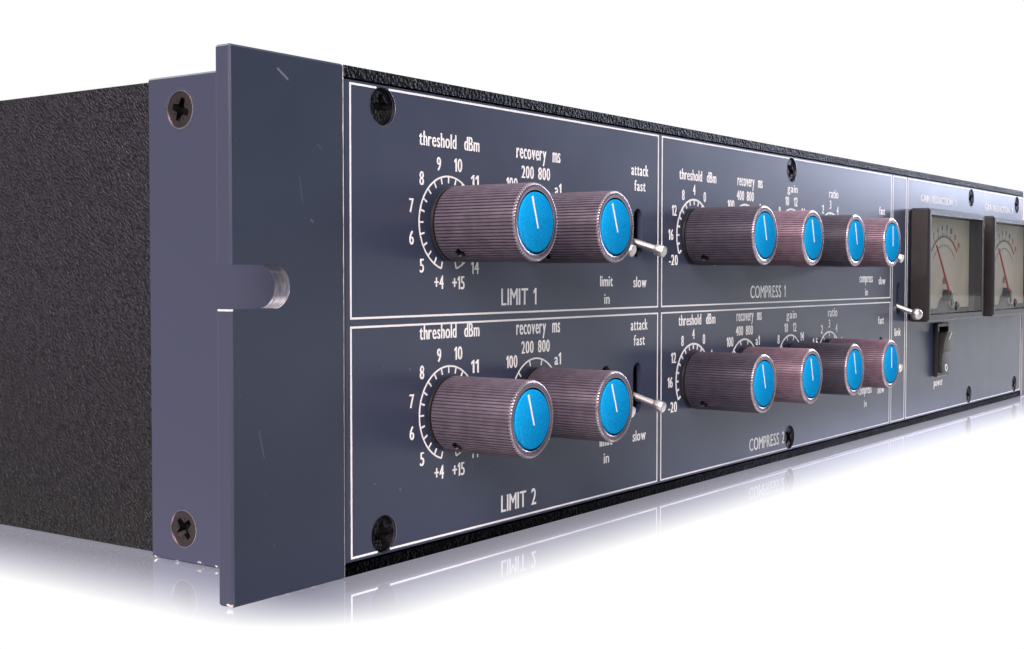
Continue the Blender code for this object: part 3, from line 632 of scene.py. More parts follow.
def softbox(name, where, aim, size, power, colour=(1, 1, 1)):
    """A rectangular light of a size in metres, at one place and aimed at another."""
    data = bpy.data.lights.new(name, "AREA")
    data.shape = "RECTANGLE"
    data.size, data.size_y = size
    data.energy = power
    data.color = colour
    light = bpy.data.objects.new(name, data)
    bpy.context.scene.collection.objects.link(light)
    aimed = (at(*aim) - at(*where)).to_track_quat("-Z", "Y").to_matrix().to_4x4()
    light.matrix_world = Matrix.Translation(at(*where)) @ aimed


ROOM_COLOUR = (0.87, 0.9, 1.0, 1.0)
ROOM_STRENGTH = 0.26


def make_world():
    """White backdrop for the camera, and a dimmer room for light and reflections."""
    world = bpy.data.worlds.new("studio")
    world.use_nodes = True
    tree = world.node_tree
    room = tree.nodes["Background"]
    room.inputs["Color"].default_value = ROOM_COLOUR
    room.inputs["Strength"].default_value = ROOM_STRENGTH
    backdrop = tree.nodes.new("ShaderNodeBackground")
    backdrop.inputs["Color"].default_value = (1, 1, 1, 1)
    backdrop.inputs["Strength"].default_value = 1.0
    seen = tree.nodes.new("ShaderNodeLightPath")
    choice = tree.nodes.new("ShaderNodeMixShader")
    tree.links.new(seen.outputs["Is Camera Ray"], choice.inputs[0])
    tree.links.new(room.outputs[0], choice.inputs[1])
    tree.links.new(backdrop.outputs[0], choice.inputs[2])
    tree.links.new(choice.outputs[0], tree.nodes["World Output"].inputs["Surface"])
    bpy.context.scene.world = world


FLOOR_SIZE = 6.0               # metres
FLOOR_BOUNCE = 0.46            # what the floor gives back to the object
FLOOR_POOL = 0.75              # how much more it gives where the window's light falls, on the right
GLOSS_REACH = 25.0             # how far from the case the floor still mirrors it
GLOSS_SHARE = 0.73
CASE_LEFT = 16.5               # the case's own side, inside the ears
POOL_X = (60, 600)             # where the pool of light begins and where it is brightest


def make_floor():
    """A white glossy sheet that mirrors the case's foot and fades to plain white; near the case its white is
    tinted as a painted reflection, and it glows onto the case as painted bounce light, brighter in a pool on
    the right.
    """
    half = FLOOR_SIZE / 2 / MM
    bm = slab(bmesh.new(), -half, half, -half, half, -4.0, 0.0)
    g = Graph("studio_floor")
    g.tree.nodes.remove(g.shader)
    low, high = at(CASE_LEFT, 0, 0), at(WIDTH - CASE_LEFT, REAR_FACE, 0)
    centre, half_size = (low + high) / 2, (high - low) / 2
    position = g.add("NewGeometry").outputs["Position"]
    offset = g.vector("SUBTRACT", position, (centre.x, centre.y, 0))
    past = g.vector("SUBTRACT", g.vector("ABSOLUTE", offset), (half_size.x, half_size.y, 1))
    distance = g.vector("LENGTH", g.vector("MAXIMUM", past, (0, 0, 0)), output="Value")
    faded = g.math("POWER", g.fit(distance, 0.0, GLOSS_REACH * MM), 1.5)
    share = g.fit(faded, 0.0, 1.0, GLOSS_SHARE, 0.0)
    # Painted reflection: the white turns lavender near the case.
    tint = g.mix(share, (1, 1, 1, 1), (0.8, 0.78, 1.0, 1))
    seen = g.add("LightPath").outputs["Is Camera Ray"]
    begins, brightest = (at(x, 0, 0).x for x in POOL_X)
    # Painted light: for all but camera rays the floor glows onto the case, more in a pool on the right.
    pool = g.fit(g.axes(position)["X"], begins, brightest, FLOOR_BOUNCE, FLOOR_BOUNCE + FLOOR_POOL)
    lit = g.math("MAXIMUM", g.product(seen, 1.05), g.product(g.math("SUBTRACT", 1.0, seen), pool))
    white = g.add("Emission", None, Color=tint, Strength=lit).outputs[0]
    mirror = g.add("BsdfGlossy", None, Color=(0.97, 0.97, 1, 1), Roughness=0.03).outputs[0]
    both = g.add("MixShader")
    for socket, value in enumerate((share, white, mirror)):
        g.set(both, socket, value)
    g.set(g.tree.nodes["Material Output"], "Surface", both.outputs[0])
    floor = bpy.data.objects.new("floor", finish_mesh("floor", bm, [g.material]))
    floor.location = (0, 0, CORNER.z - 0.0002)
    bpy.context.scene.collection.objects.link(floor)


# --- knobs --------------------------------------------------------------------

KNOB_LONG = 18.3
KNOB_R = 7.15
RIBS = 70
RIB_DEEP = 0.32
RIM_IN = 5.8
CAP_R = 5.45
CAP_THICK = 1.7
GRUB_UP = 4.4                  # how far along the knob its grub screw is
GRUB_TURN = -56.0
SIDE, EDGE, SHAFT, BLACK_AND_SHADE, RIM = range(5)  # a knob's materials; the fourth is black: the grub screw and the ring behind the knob, and painted shade in the front hollow and the grub screw's hole
# What each control's knob is made of, and how far its pointer line is from straight up at rest
CONTROLS = {
    "limit_threshold": (gray_tube, 18.0),
    "limit_recovery": (gray_tube, 20.0),
    "compress_threshold": (dark_tube, 16.0),
    "compress_recovery": (mauve_tube, 15.0),
    "compress_gain": (dark_tube, 15.0),
    "compress_ratio": (mauve_tube, 2.0),
}


def rib_ring(outer, inner, height):
    """A ring of square-shouldered ribs."""
    pitch = 2 * math.pi / RIBS
    rib_shape = ((0.08, outer), (0.3, outer), (0.52, outer), (0.66, inner), (0.8, inner), (0.94, inner))
    return [Vector((*polar(radius, rib * pitch + pitch * share), height))
            for rib in range(RIBS) for share, radius in rib_shape]


def grub_pin(profile):
    """A round pin on the line of the knob's grub screw."""
    bm = lathe(bmesh.new(), profile, 20, BLACK_AND_SHADE)
    sideways = Matrix.Rotation(math.radians(GRUB_TURN), 3, "Z") @ Matrix.Rotation(math.radians(90), 3, "X")
    bmesh.ops.rotate(bm, verts=bm.verts, cent=(0, 0, 0), matrix=sideways)
    bmesh.ops.translate(bm, verts=bm.verts, vec=(0, 0, GRUB_UP))
    return bm


def knob_mesh(name, tube):
    """The ribbed tube from its back (height 0) to its rim, hollow in front, with a grub screw's hole; the
    hollow's inner wall and the hole's walls are black, as painted shade.
    """
    sides = RIBS * 6
    groove = KNOB_R - RIB_DEEP
    rings = [circle(3.05, 0.0, sides), circle(KNOB_R - 0.55, 0.0, sides),
             rib_ring(KNOB_R - 0.2, groove - 0.12, 0.25), rib_ring(KNOB_R, groove, 0.55),
             rib_ring(KNOB_R, groove, KNOB_LONG - 0.42),
             rib_ring(KNOB_R - 0.3, groove - 0.08, KNOB_LONG - 0.06)]
    for radius, sunk in ((KNOB_R - 0.46, 0.01), (KNOB_R - 0.72, 0.0), (RIM_IN + 0.12, 0.08),
                         (RIM_IN + 0.02, 0.14), (RIM_IN - 0.02, 0.3), (RIM_IN - 0.05, 1.85)):
        rings.append(circle(radius, KNOB_LONG - sunk, sides))
    bm = skin(bmesh.new(), rings)
    for face in bm.faces:
        low = min(vert.co.z for vert in face.verts)
        reach = max(vert.co.xy.length for vert in face.verts)
        chamfer = low > KNOB_LONG - 0.43 and reach > KNOB_R - 0.45
        inner_edge = low > KNOB_LONG - 0.15 and reach < RIM_IN + 0.125
        if chamfer or inner_edge:
            face.material_index = EDGE
        elif low > KNOB_LONG - 0.09:
            face.material_index = RIM
        elif low > KNOB_LONG - 1.9 and reach < RIM_IN:
            # Painted shade: the inner wall of the hollow front is black.
            face.material_index = BLACK_AND_SHADE
    # The hole's walls take the cutter's black: painted shade in the hole.
    bm = cut(bm, grub_pin([(1.05, 4.6), (1.05, 9.0)]))
    merge(bm, grub_pin([(1.0, 4.0), (1.0, 6.0), (0.85, 6.1)]))
    lathe(bm, [(2.98, -12.6), (2.98, 0.4)], 24, SHAFT)
    lathe(bm, [(5.6, -0.8), (KNOB_R - 0.25, -0.75), (KNOB_R - 0.1, -0.55), (KNOB_R - 0.1, -0.03),
               (5.6, -0.03)], 64, BLACK_AND_SHADE)
    return finish_mesh(name, bm, [tube, rim_metal, steel, black_plastic, rim_face])


def cap_mesh():
    """The blue disc with its pointer line printed on it."""
    profile = [(CAP_R, 0.0), (CAP_R, 1.45), (CAP_R - 0.08, 1.6), (CAP_R - 0.24, CAP_THICK - 0.02)]
    bm = lathe(bmesh.new(), profile, 64)
    pointer = [(-0.17, -1.15), (0.17, -1.15), (0.26, CAP_R - 0.6), (-0.26, CAP_R - 0.6)]
    prism(bm, pointer, CAP_THICK - 0.04, CAP_THICK, 1)
    return finish_mesh("cap", bm, [cap_blue, white_ink])


def make_knobs():
    """A ribbed knob and its blue cap for each control of both channels."""
    tubes = {tube: knob_mesh("knob_" + tube.name, tube) for tube in (gray_tube, dark_tube, mauve_tube)}
    cap = cap_mesh()
    for channel in (1, 2):
        for control, (tube, lean) in CONTROLS.items():
            body = f"{control}_{channel}"
            knob_node, cap_node = f"{control}_knob_{channel}", f"{control}_cap_{channel}"
            x, z = middle(knob_node)
            knob_back, cap_back = depth(knob_node)[0] + KNOB_LONG, depth(cap_node)[1]
            add_piece(f"{control}_ribbed_knob_{channel}", tubes[tube],
                      place("front", at(x, knob_back, z), lean),
                      body, (knob_node,))
            add_piece(f"{control}_blue_cap_{channel}", cap, place("front", at(x, cap_back, z), lean),
                      body, (cap_node,))


# --- toggles ------------------------------------------------------------------

TOGGLES = ("limit_in", "limit_attack", "compress_in", "compress_attack")
LEVER_PIVOT_Y = 7.6
LEVER_TILT = 17.0
LEVER_REACH = 14.9
GRIP_LONG = 2.5
GRIP_R = 1.36
HUB_R = 1.65
ARM_R = 0.86
LINK_TILT = 20.0
LINK_REACH = 14.4
BALL_R = 1.9


def lever_mesh(name, tip):
    """A hub, a thin arm and its tip, pointing out along Z from the pivot."""
    turns = [math.pi * step / 10 for step in range(1, 9)]
    hub = [(HUB_R * math.sin(turn), -HUB_R * math.cos(turn)) for turn in turns]
    bm = lathe(bmesh.new(), hub + [(1.0, 2.0), (ARM_R, 2.6)] + tip, 28)
    return finish_mesh(name, bm, [lever_metal])


def tilted(x, y, z, tilt):
    """Where a piece made round its pivot goes when it is tipped by some degrees."""
    lean = Matrix.Rotation(math.radians(tilt), 4, "X")
    return Matrix.Translation(at(x, y, z)) @ lean @ place("front", Vector((0, 0, 0)))


def make_toggles():
    """Four levers for each channel, and the ball lever that links the channels."""
    start = LEVER_REACH - GRIP_LONG
    grip = [(ARM_R, start), (1.15, start + 0.04), (1.3, start + 0.14), (GRIP_R, start + 0.3),
            (GRIP_R, LEVER_REACH - 0.3), (1.3, LEVER_REACH - 0.14), (1.15, LEVER_REACH - 0.04),
            (0.8, LEVER_REACH)]
    toggle = lever_mesh("toggle_lever", grip)
    first = math.asin(ARM_R / BALL_R)
    turns = [first + (math.pi - 0.15 - first) * step / 14 for step in range(15)]
    tip = [(BALL_R * math.sin(turn), LINK_REACH - BALL_R * math.cos(turn)) for turn in turns]
    ball = lever_mesh("ball_lever", tip)
    for channel in (1, 2):
        _, z = middle(f"limit_threshold_knob_{channel}")
        for name in TOGGLES:
            node = f"{name}_lever_{channel}"
            x, _ = middle(node)
            add_piece(f"{name}_bright_lever_{channel}", toggle, tilted(x, LEVER_PIVOT_Y, z, LEVER_TILT),
                      f"{name}_toggle_{channel}", (node,))
    x, _ = middle("link_lever")
    add_piece("link_bright_lever", ball, tilted(x, LEVER_PIVOT_Y, HEIGHT / 2, LINK_TILT),
              "link_toggle", ("link_lever",))


# --- screws -------------------------------------------------------------------

def cross_recess(radius, deep, top):
    """The cutter for a cross recess with short marks between its wings."""
    wing, core = radius * 0.66, radius * 0.16
    plus = []
    for quarter in range(4):
        plus += turned(((wing, -core), (wing, core), (core * 1.45, core * 1.45)), math.pi / 2 * quarter)
    rings = [[Vector((x * 0.5, y * 0.6, top - deep)) for x, y in plus]]
    for height in (top - 0.05, top + 1.0):
        rings.append([Vector((x, y, height)) for x, y in plus])
    bm = skin(bmesh.new(), rings)
    near, far = radius * 0.42, radius * 0.62
    for quarter in range(4):
        mark = ((near, -0.06), (far, -0.06), (far, 0.06), (near, 0.06))
        prism(bm, turned(mark, math.pi / 4 + math.pi / 2 * quarter), top - 0.12, top + 1.0)
    return bm


def screw_mesh(name, radius, material, dome=0.25, sunk=1.6):
    """A raised countersunk head with a cross recess whose deep faces are near black, as painted shade; height
    0 is the face it sits in.
    """
    profile = [(radius * 0.45, -sunk), (radius * 0.5, -sunk), (radius - 0.06, -0.16), (radius, -0.06),
               (radius, 0.0), (radius * 0.93, dome * 0.22), (radius * 0.75, dome * 0.6),
               (radius * 0.45, dome * 0.9), (radius * 0.16, dome)]
    head = cut(lathe(bmesh.new(), profile, 40), cross_recess(radius, sunk * 0.72, dome * 0.9))
    # Painted shade: the deep faces of the cross recess take the near-black finish.
    for face in head.faces:
        centre = face.calc_center_median()
        if centre.xy.length < radius * 0.68 and -sunk + 0.1 < centre.z < -0.05:
            face.material_index = 1
    return finish_mesh(name, head, [material, recess_painted_shade], 28)


def ring(name, inner, outer, material, deep=0.5):
    """The edge of a countersink: a thin ring that stands just proud of the face round a screw's head."""
    band = cut(lathe(bmesh.new(), [(outer, -deep), (outer, 0.02), (outer - 0.04, 0.035)]),
               lathe(bmesh.new(), [(inner, -1.0), (inner, 1.0)]))
    return finish_mesh(name, band, [material])


PANEL_SCREWS_X = (36.5, 213.1, 382.0, 446.1)
PANEL_SCREWS_Z = (6.0, 82.0)
PANEL_SCREW_SUNK = 0.45
SIDE_SCREW_X = 18.3
SIDE_SCREW_Y = 32.5
SIDE_SCREWS_Z = (6.2, 81.9)
SIDE_SCREW_SUNK = 0.15
COVER_SCREWS_X = (30.0, WIDTH / 2, WIDTH - 30.0)
COVER_SCREWS_Y = (20.0, 127.0, 242.0)
REAR_SCREWS_X = (32.0, 236.0, 300.0, WIDTH - 32.0)
REAR_SCREWS_Z = (9.0, HEIGHT - 9.0)
TURNS = (12, 47, 78, 33, 5, 61, 24, 86, 40, 70)


def make_screws():
    """Every screw of the case, each left at a turn of its own."""
    turn = iter(TURNS * 6)
    panel_screw = screw_mesh("panel_screw", 3.35, black_steel, 0.16, 1.2)
    panel_rim = ring("panel_screw_rim", 3.37, 3.5, dull_rim, PANEL_SCREW_SUNK + 0.2)
    for row, z in enumerate(PANEL_SCREWS_Z, 1):
        for column, x in enumerate(PANEL_SCREWS_X, 1):
            sunk = at(x, PANEL_FACE + PANEL_SCREW_SUNK, z)
            add_piece(f"panel_screw_{row}_{column}", panel_screw, place("front", sunk, next(turn)))
            add_piece(f"panel_screw_rim_{row}_{column}", panel_rim, place("front", at(x, PANEL_FACE, z)))
    side_screw = screw_mesh("side_screw", 3.28, brown_steel, 0.05)
    rim = ring("countersink_rim", 3.3, 3.46, rim_metal)
    seat = ring("countersink_seat", 3.48, 3.95, slate_side_lit)
    for side, x, inward in (("left", SIDE_SCREW_X, 1), ("right", WIDTH - SIDE_SCREW_X, -1)):
        for row, z in enumerate(SIDE_SCREWS_Z, 1):
            on_face = place(side, at(x, SIDE_SCREW_Y, z))
            sunk = at(x + SIDE_SCREW_SUNK * inward, SIDE_SCREW_Y, z)
            add_piece(f"side_screw_{side}_{row}", side_screw, place(side, sunk, next(turn)))
            add_piece(f"side_screw_rim_{side}_{row}", rim, on_face)
            add_piece(f"side_screw_seat_{side}_{row}", seat, on_face)
    sheet_screw = screw_mesh("sheet_screw", 2.9, zinc, 0.12, 1.2)
    for face, z in (("top", HEIGHT), ("under", 0.0)):
        for x in COVER_SCREWS_X:
            for y in COVER_SCREWS_Y:
                add_piece(f"{face}_screw_{x:.0f}_{y:.0f}", sheet_screw, place(face, at(x, y, z), next(turn)))
    for x in REAR_SCREWS_X:
        for z in REAR_SCREWS_Z:
            add_piece(f"rear_screw_{x:.0f}_{z:.0f}", sheet_screw,
                      place("rear", at(x, REAR_FACE, z), next(turn)))


# --- printing -----------------------------------------------------------------

INK_HIGH = 0.035
INK_SUNK = 0.02
LAYER = 0.004                  # ink that crosses other ink lies this much higher
LINE = 0.38
WORD_GAP = 0.42
LETTER_GAP = 0.13
LETTERS = {}                   # the letters made so far

# The figure 1 with its flag, anticlockwise
ONE = ((0.13, 0.0), (0.225, 0.0), (0.225, 0.69), (0.155, 0.69), (0.0, 0.56), (0.0, 0.46), (0.13, 0.55))


def letter_mesh(letter):
    """A letter of the built-in typeface as points, flat faces and its outline's edges."""
    if letter == "1":
        return {"points": [Vector((x, y, 0)) for x, y in ONE], "faces": [list(range(len(ONE)))],
                "rim": [(step, (step + 1) % len(ONE)) for step in range(len(ONE))]}
    if letter not in LETTERS:
        curve = bpy.data.curves.new("letter", "FONT")
        curve.body = letter
        curve.resolution_u = 4
        holder = bpy.data.objects.new("letter", curve)
        bpy.context.scene.collection.objects.link(holder)
        bpy.context.view_layer.update()
        flat = bpy.data.meshes.new_from_object(holder.evaluated_get(bpy.context.evaluated_depsgraph_get()))
        bpy.data.objects.remove(holder)
        bm = bmesh.new()
        bm.from_mesh(flat)
        bmesh.ops.remove_doubles(bm, verts=bm.verts, dist=1e-5)
        bmesh.ops.recalc_face_normals(bm, faces=bm.faces)
        if bm.faces[:][0].normal.z < 0:
            bmesh.ops.reverse_faces(bm, faces=bm.faces)
        bm.verts.index_update()
        rim = []
        for edge in bm.edges:
            if len(edge.link_loops) == 1:
                loop = edge.link_loops[0]
                rim.append((loop.vert.index, loop.link_loop_next.vert.index))
        LETTERS[letter] = {
            "points": [vert.co.copy() for vert in bm.verts],
            "faces": [[vert.index for vert in face.verts] for face in bm.faces],
            "rim": rim,
        }
        bm.free()
    return LETTERS[letter]


def clockwise(centre, radius, angle):
    """The place at a radius from a centre and at clockwise degrees from straight up."""
    turn = math.radians(angle)
    return centre[0] + radius * math.sin(turn), centre[1] + radius * math.cos(turn)


class Sheet:
    """Ink printed on one face; places are in millimetres on that face."""

    def __init__(self):
        self.bm = bmesh.new()

    def frame(self, x0, x1, y0, y1, gaps=()):
        """A ruled box; gaps are (start, end, height) along its level lines, where a screw sits on them."""
        half = LINE / 2
        for x in (x0, x1):
            slab(self.bm, x - half, x + half, y0 - half, y1 + half, -INK_SUNK, INK_HIGH + LAYER)
        for y in (y0, y1):
            cuts = [value for start, end, height in gaps if height == y for value in (start, end)]
            edges = [x0] + [value for value in cuts if x0 < value < x1] + [x1]
            for start, end in zip(edges[::2], edges[1::2]):
                slab(self.bm, start, end, y - half, y + half, -INK_SUNK, INK_HIGH)

    def stroke(self, start, end, width):
        """A straight line of ink between two points."""
        start, end = Vector(start), Vector(end)
        along = (end - start).normalized()
        aside = Vector((-along.y, along.x)) * width / 2
        corners = (start - aside, end - aside, end + aside, start + aside)
        prism(self.bm, [tuple(corner) for corner in corners], -INK_SUNK, INK_HIGH + LAYER)

    def arc(self, centre, radius, first, last, width):
        """Part of a ring; angles are clockwise degrees from straight up."""
        steps = max(2, round(abs(last - first) / 4))
        angles = [first + (last - first) * step / steps for step in range(steps + 1)]
        outer, inner = ([clockwise(centre, reach, angle) for angle in angles]
                        for reach in (radius + width / 2, radius - width / 2))
        for step in range(steps):
            quad = [outer[step], outer[step + 1], inner[step + 1], inner[step]]
            prism(self.bm, quad, -INK_SUNK, INK_HIGH)

    def tick(self, centre, inner, outer, angle, width):
        """A line between two radii of a scale."""
        self.stroke(clockwise(centre, inner, angle), clockwise(centre, outer, angle), width)

    def words(self, text, x, y, width, height, bold=0.12):
        """Text stretched to fit a box about x, y; bold millimetres are added to its upright strokes."""
        letters, pen = [], 0.0
        for letter in text:
            if letter == " ":
                pen += WORD_GAP
                continue
            outline = letter_mesh(letter)
            xs = [point.x for point in outline["points"]]
            letters.append((outline, pen - min(xs)))
            pen += max(xs) - min(xs) + LETTER_GAP
        pen -= LETTER_GAP
        ys = [point.y for outline, _ in letters for point in outline["points"]]
        low, tall = min(ys), max(ys) - min(ys)
        stretch = (width - bold) / pen
        for outline, start in letters:
            for layer, shift in enumerate((-bold / 2, 0, bold / 2)):
                self.letter(outline, x - (width - bold) / 2 + shift, start, stretch,
                            y - height / 2, low, height / tall, INK_HIGH + layer * LAYER)

    def letter(self, outline, left, start, stretch, foot, low, rise, high):
        """One letter's flat mesh, stretched and lifted into a solid."""
        corners = [(left + (point.x + start) * stretch, foot + (point.y - low) * rise)
                   for point in outline["points"]]
        under, over = ([self.bm.verts.new((*corner, height)) for corner in corners]
                       for height in (-INK_SUNK, high))
        for face in outline["faces"]:
            self.bm.faces.new([over[corner] for corner in face])
            self.bm.faces.new([under[corner] for corner in reversed(face)])
        for first, second in outline["rim"]:
            self.bm.faces.new((under[first], under[second], over[second], over[first]))

    def print(self, name, material, face, origin):
        add_piece(name, finish_mesh(name, self.bm, [material], 20), place(face, origin))


BOX_LOW = 3.07                 # the lowest and the highest line of the panel's boxes
BOX_HIGH = 85.14
BOX_SPLIT = (43.17, 44.74)     # where the second channel's boxes end and the first channel's begin
SCREW_GAP = 1.7                # how far a line stops from the middle of a screw that sits on it
TICK_LONG = 1.3
NUMBER_R = 11.35
DIGIT_WIDE = 1.25
DIGIT_TALL = 2.55
ARC_ROW = {1: 62.0, 2: 26.25}  # the height of each channel's scales

# Each scale: its middle across the front, radius, line, the angle it reaches each way, the step of its
# ticks, and its numbers, which are 30 degrees apart
SCALES = (
    (55.4, 8.79, 0.34, 165, 15, "+4 5 6 7 8 9 10 11 12 13 14 +15"),
    (84.6, 8.79, 0.34, 75, 30, "50 100 200 800 a1 a2"),
    (154.2, 8.9, 0.5, 120, 15, "-20 16 12 8 4 0 4 8 +10"),
    (183.2, 8.9, 0.5, 75, 30, "50 100 400 800 a1 a2"),
    (213.1, 8.9, 0.5, 105, 30, "4 6 8 10 12 14 16 18"),
    (241.7, 8.9, 0.5, 60, 30, "1.5 2 3 4 6"),
)

# The first channel's words as (text, middle across, middle up, width, height)
WORDS = (
    ("threshold  dBm", 55.9, 77.4, 18.4, 2.7),
    ("recovery  ms", 85.65, 76.4, 16.1, 3.1),
    ("attack", 127.3, 76.5, 7.8, 2.6),
    ("fast", 127.35, 72.9, 5.1, 2.5),
    ("slow", 127.5, 50.65, 6.0, 2.5),
    ("limit", 112.6, 50.9, 5.4, 2.4),
    ("in", 112.8, 46.9, 2.3, 2.2),
    ("threshold  dBm", 156.3, 76.9, 19.7, 2.7),
    ("recovery  ms", 186.1, 76.3, 15.4, 3.1),
    ("gain", 213.75, 76.3, 7.0, 2.9),
    ("ratio", 244.2, 76.7, 7.2, 2.6),
    ("compress", 271.8, 50.4, 11.4, 2.9),
    ("in", 272.2, 46.8, 2.3, 2.2),
    ("fast", 285.5, 73.2, 5.1, 2.5),
    ("slow", 286.0, 50.4, 6.0, 2.5),
)


def panel_lines(sheet):
    """White boxes round the sections of the panel."""
    screws = [(x - SCREW_GAP, x + SCREW_GAP, z) for x in PANEL_SCREWS_X for z in (BOX_LOW, BOX_HIGH)]
    for left, right in ((28.0, 135.97), (137.84, 293.9)):
        sheet.frame(left, right, BOX_LOW, BOX_SPLIT[0], screws)
        sheet.frame(left, right, BOX_SPLIT[1], BOX_HIGH, screws)
    sheet.frame(295.7, 308.5, BOX_LOW, BOX_HIGH, screws)
    sheet.frame(310.3, WIDTH - 28.0, BOX_LOW, BOX_HIGH, screws)


def dial_scale(sheet, centre, radius, line, end, step, numbers):
    """An arc with ticks, and its numbers outside it."""
    sheet.arc(centre, radius, -end, end, line)
    for angle in range(-end, end + 1, step):
        sheet.tick(centre, radius - TICK_LONG, radius, angle, line)
    texts = numbers.split()
    for place_on_scale, text in enumerate(texts):
        angle = 30 * (place_on_scale - (len(texts) - 1) / 2)
        wide = DIGIT_WIDE * len(text) * (0.86 if "1" in text else 1.0) + 0.3 * (len(text) - 1)
        reach = NUMBER_R + 0.4 * abs(math.sin(math.radians(angle))) * (len(text) - 1) * DIGIT_WIDE
        sheet.words(text, *clockwise(centre, reach, angle), wide, DIGIT_TALL)


def panel_labels(sheet):
    """Scales and plain function words for both channels."""
    for channel, z in ARC_ROW.items():
        for x, *scale in SCALES:
            dial_scale(sheet, (x, z), *scale)
        for text, x, height, wide, tall in WORDS:
            sheet.words(text, x, height - (ARC_ROW[1] - z), wide, tall)
        sheet.words(f"LIMIT {channel}", 78.6, 47.9 if channel == 1 else 6.4, 12.4, 3.4)
        sheet.words(f"COMPRESS {channel}", 198.1, 47.7 if channel == 1 else 6.4, 22.8, 3.4)
    sheet.words("link", 301.5, 33.0, 6.0, 2.6)
    sheet.words("power", 345.0, 12.4, 10.0, 2.9)
    for x, number in ((343.6, "1"), (420.4, "2")):
        sheet.words(f"GAIN REDUCTION  {number}", x, 79.2, 40.0, 2.6)


def print_front():
    """The panel's boxes and words, as two sheets of ink."""
    for name, draw in (("panel_rules", panel_lines), ("panel_labels", panel_labels)):
        sheet = Sheet()
        draw(sheet)
        sheet.print(name, white_ink, "front", at(0, PANEL_FACE, 0))


# --- meters and mains switch -----------------------------------------------------

METER_WALL = 2.2               # the meter's frame round its window
PIVOT_UP = 6.5                 # needle pivot above the window's lower edge
NEEDLE_LONG = 24.0
NEEDLE_TILT = 42.0
SCALE_R = 21.2
METER_NUMBERS = ("0", "2", "4", "6", "8", "10", "15", "20")


def needle_mesh(front, back):
    """A tapered pointer with its counterweight, hub and pivot pin, between two heights over the dial."""
    blade = [(-0.55, -1.5), (0.55, -1.5), (0.16, NEEDLE_LONG), (-0.16, NEEDLE_LONG)]
    bm = prism(bmesh.new(), blade, back, front)
    prism(bm, [(-1.05, -4.5), (1.05, -4.5), (0.8, -2.2), (-0.8, -2.2)], back - 0.02, front + 0.02, 1)
    hub = [(2.15, 0.35), (2.15, back - 0.1), (1.7, back + 0.05), (1.7, front + 0.18), (1.4, front + 0.35)]
    lathe(bm, hub, 32, 1)
    lathe(bm, [(0.5, front + 0.1), (0.5, front + 0.3), (0.3, front + 0.38)], 16, 2)
    return finish_mesh("meter_needle", bm, [needle_red, black_plastic, steel])


def meter_face(number, low, high, dial_y):
    """The dial card, its scale and the black cover below the pivot."""
    centre, level = (low.x + high.x) / 2, (low.y + high.y) / 2
    wide, tall = high.x - low.x - 2 * METER_WALL - 0.5, high.y - low.y - 2 * METER_WALL - 0.5
    card = prism(bmesh.new(), rounded_outline(wide, tall, 0.6), 0.02, 0.18)
    on_dial = place("front", at(centre, dial_y, level))
    add_piece(f"meter_{number}_dial_card", finish_mesh("dial_card", card, [dial_card]), on_dial)
    pivot = (0.0, low.y + METER_WALL + PIVOT_UP - level)
    scale, limits = Sheet(), Sheet()
    scale.arc(pivot, SCALE_R, -NEEDLE_TILT, NEEDLE_TILT * 0.46, 0.45)
    scale.arc(pivot, SCALE_R - 3.0, -NEEDLE_TILT, NEEDLE_TILT, 0.2)
    limits.arc(pivot, SCALE_R + 0.15, NEEDLE_TILT * 0.46, NEEDLE_TILT, 0.75)
    last = len(METER_NUMBERS) - 1
    step = 2 * NEEDLE_TILT / last
    for place_on_scale, text in enumerate(METER_NUMBERS):
        angle = -NEEDLE_TILT + step * place_on_scale
        sheet = limits if place_on_scale > 5 else scale
        sheet.tick(pivot, SCALE_R, SCALE_R + 1.7, angle, 0.36)
        x, y = clockwise(pivot, SCALE_R + 3.4, angle)[0], clockwise(pivot, SCALE_R + 3.3, angle)[1]
        sheet.words(text, x, y, 1.15 * len(text), 2.0)
        for part in (1, 2, 3) if place_on_scale < last else ():
            scale.tick(pivot, SCALE_R, SCALE_R + 0.9, angle + step * part / 4, 0.18)
    for tenth in range(11):
        scale.tick(pivot, SCALE_R - 3.0, SCALE_R - 3.9, -NEEDLE_TILT + 2 * NEEDLE_TILT * tenth / 10, 0.18)
    scale.words("dB", 0.0, 5.4 + pivot[1], 3.6, 2.6)
    on_card = at(centre, dial_y - 0.18, level)
    scale.print(f"meter_{number}_scale", black_ink, "front", on_card)
    limits.print(f"meter_{number}_limit_marks", red_ink, "front", on_card)
    bottom, shoulder = -tall / 2, pivot[1] - 4.6
    hump = []
    for angle in range(0, 181, 12):
        turn = math.radians(angle)
        hump.append((6.2 * math.cos(turn), pivot[1] - 3.4 + 3.1 * math.sin(turn)))
    outline = [(wide / 2, bottom), (wide / 2, shoulder), (8.0, shoulder), *hump,
               (-8.0, shoulder), (-wide / 2, shoulder), (-wide / 2, bottom)]
    cover = finish_mesh("hub_cover", prism(bmesh.new(), outline, 0.2, 0.3), [black_plastic])
    add_piece(f"meter_{number}_hub_cover", cover, on_dial)


def slotted_screw(name, radius, high, material, slot):
    """A round head with one straight slot."""
    head = lathe(bmesh.new(), [(radius, -0.2), (radius, high - 0.2), (radius - 0.2, high)], 32)
    groove = slab(bmesh.new(), -radius - 1, radius + 1, -slot / 2, slot / 2, high - 0.45, high + 1)
    return finish_mesh(name, cut(head, groove), [material])


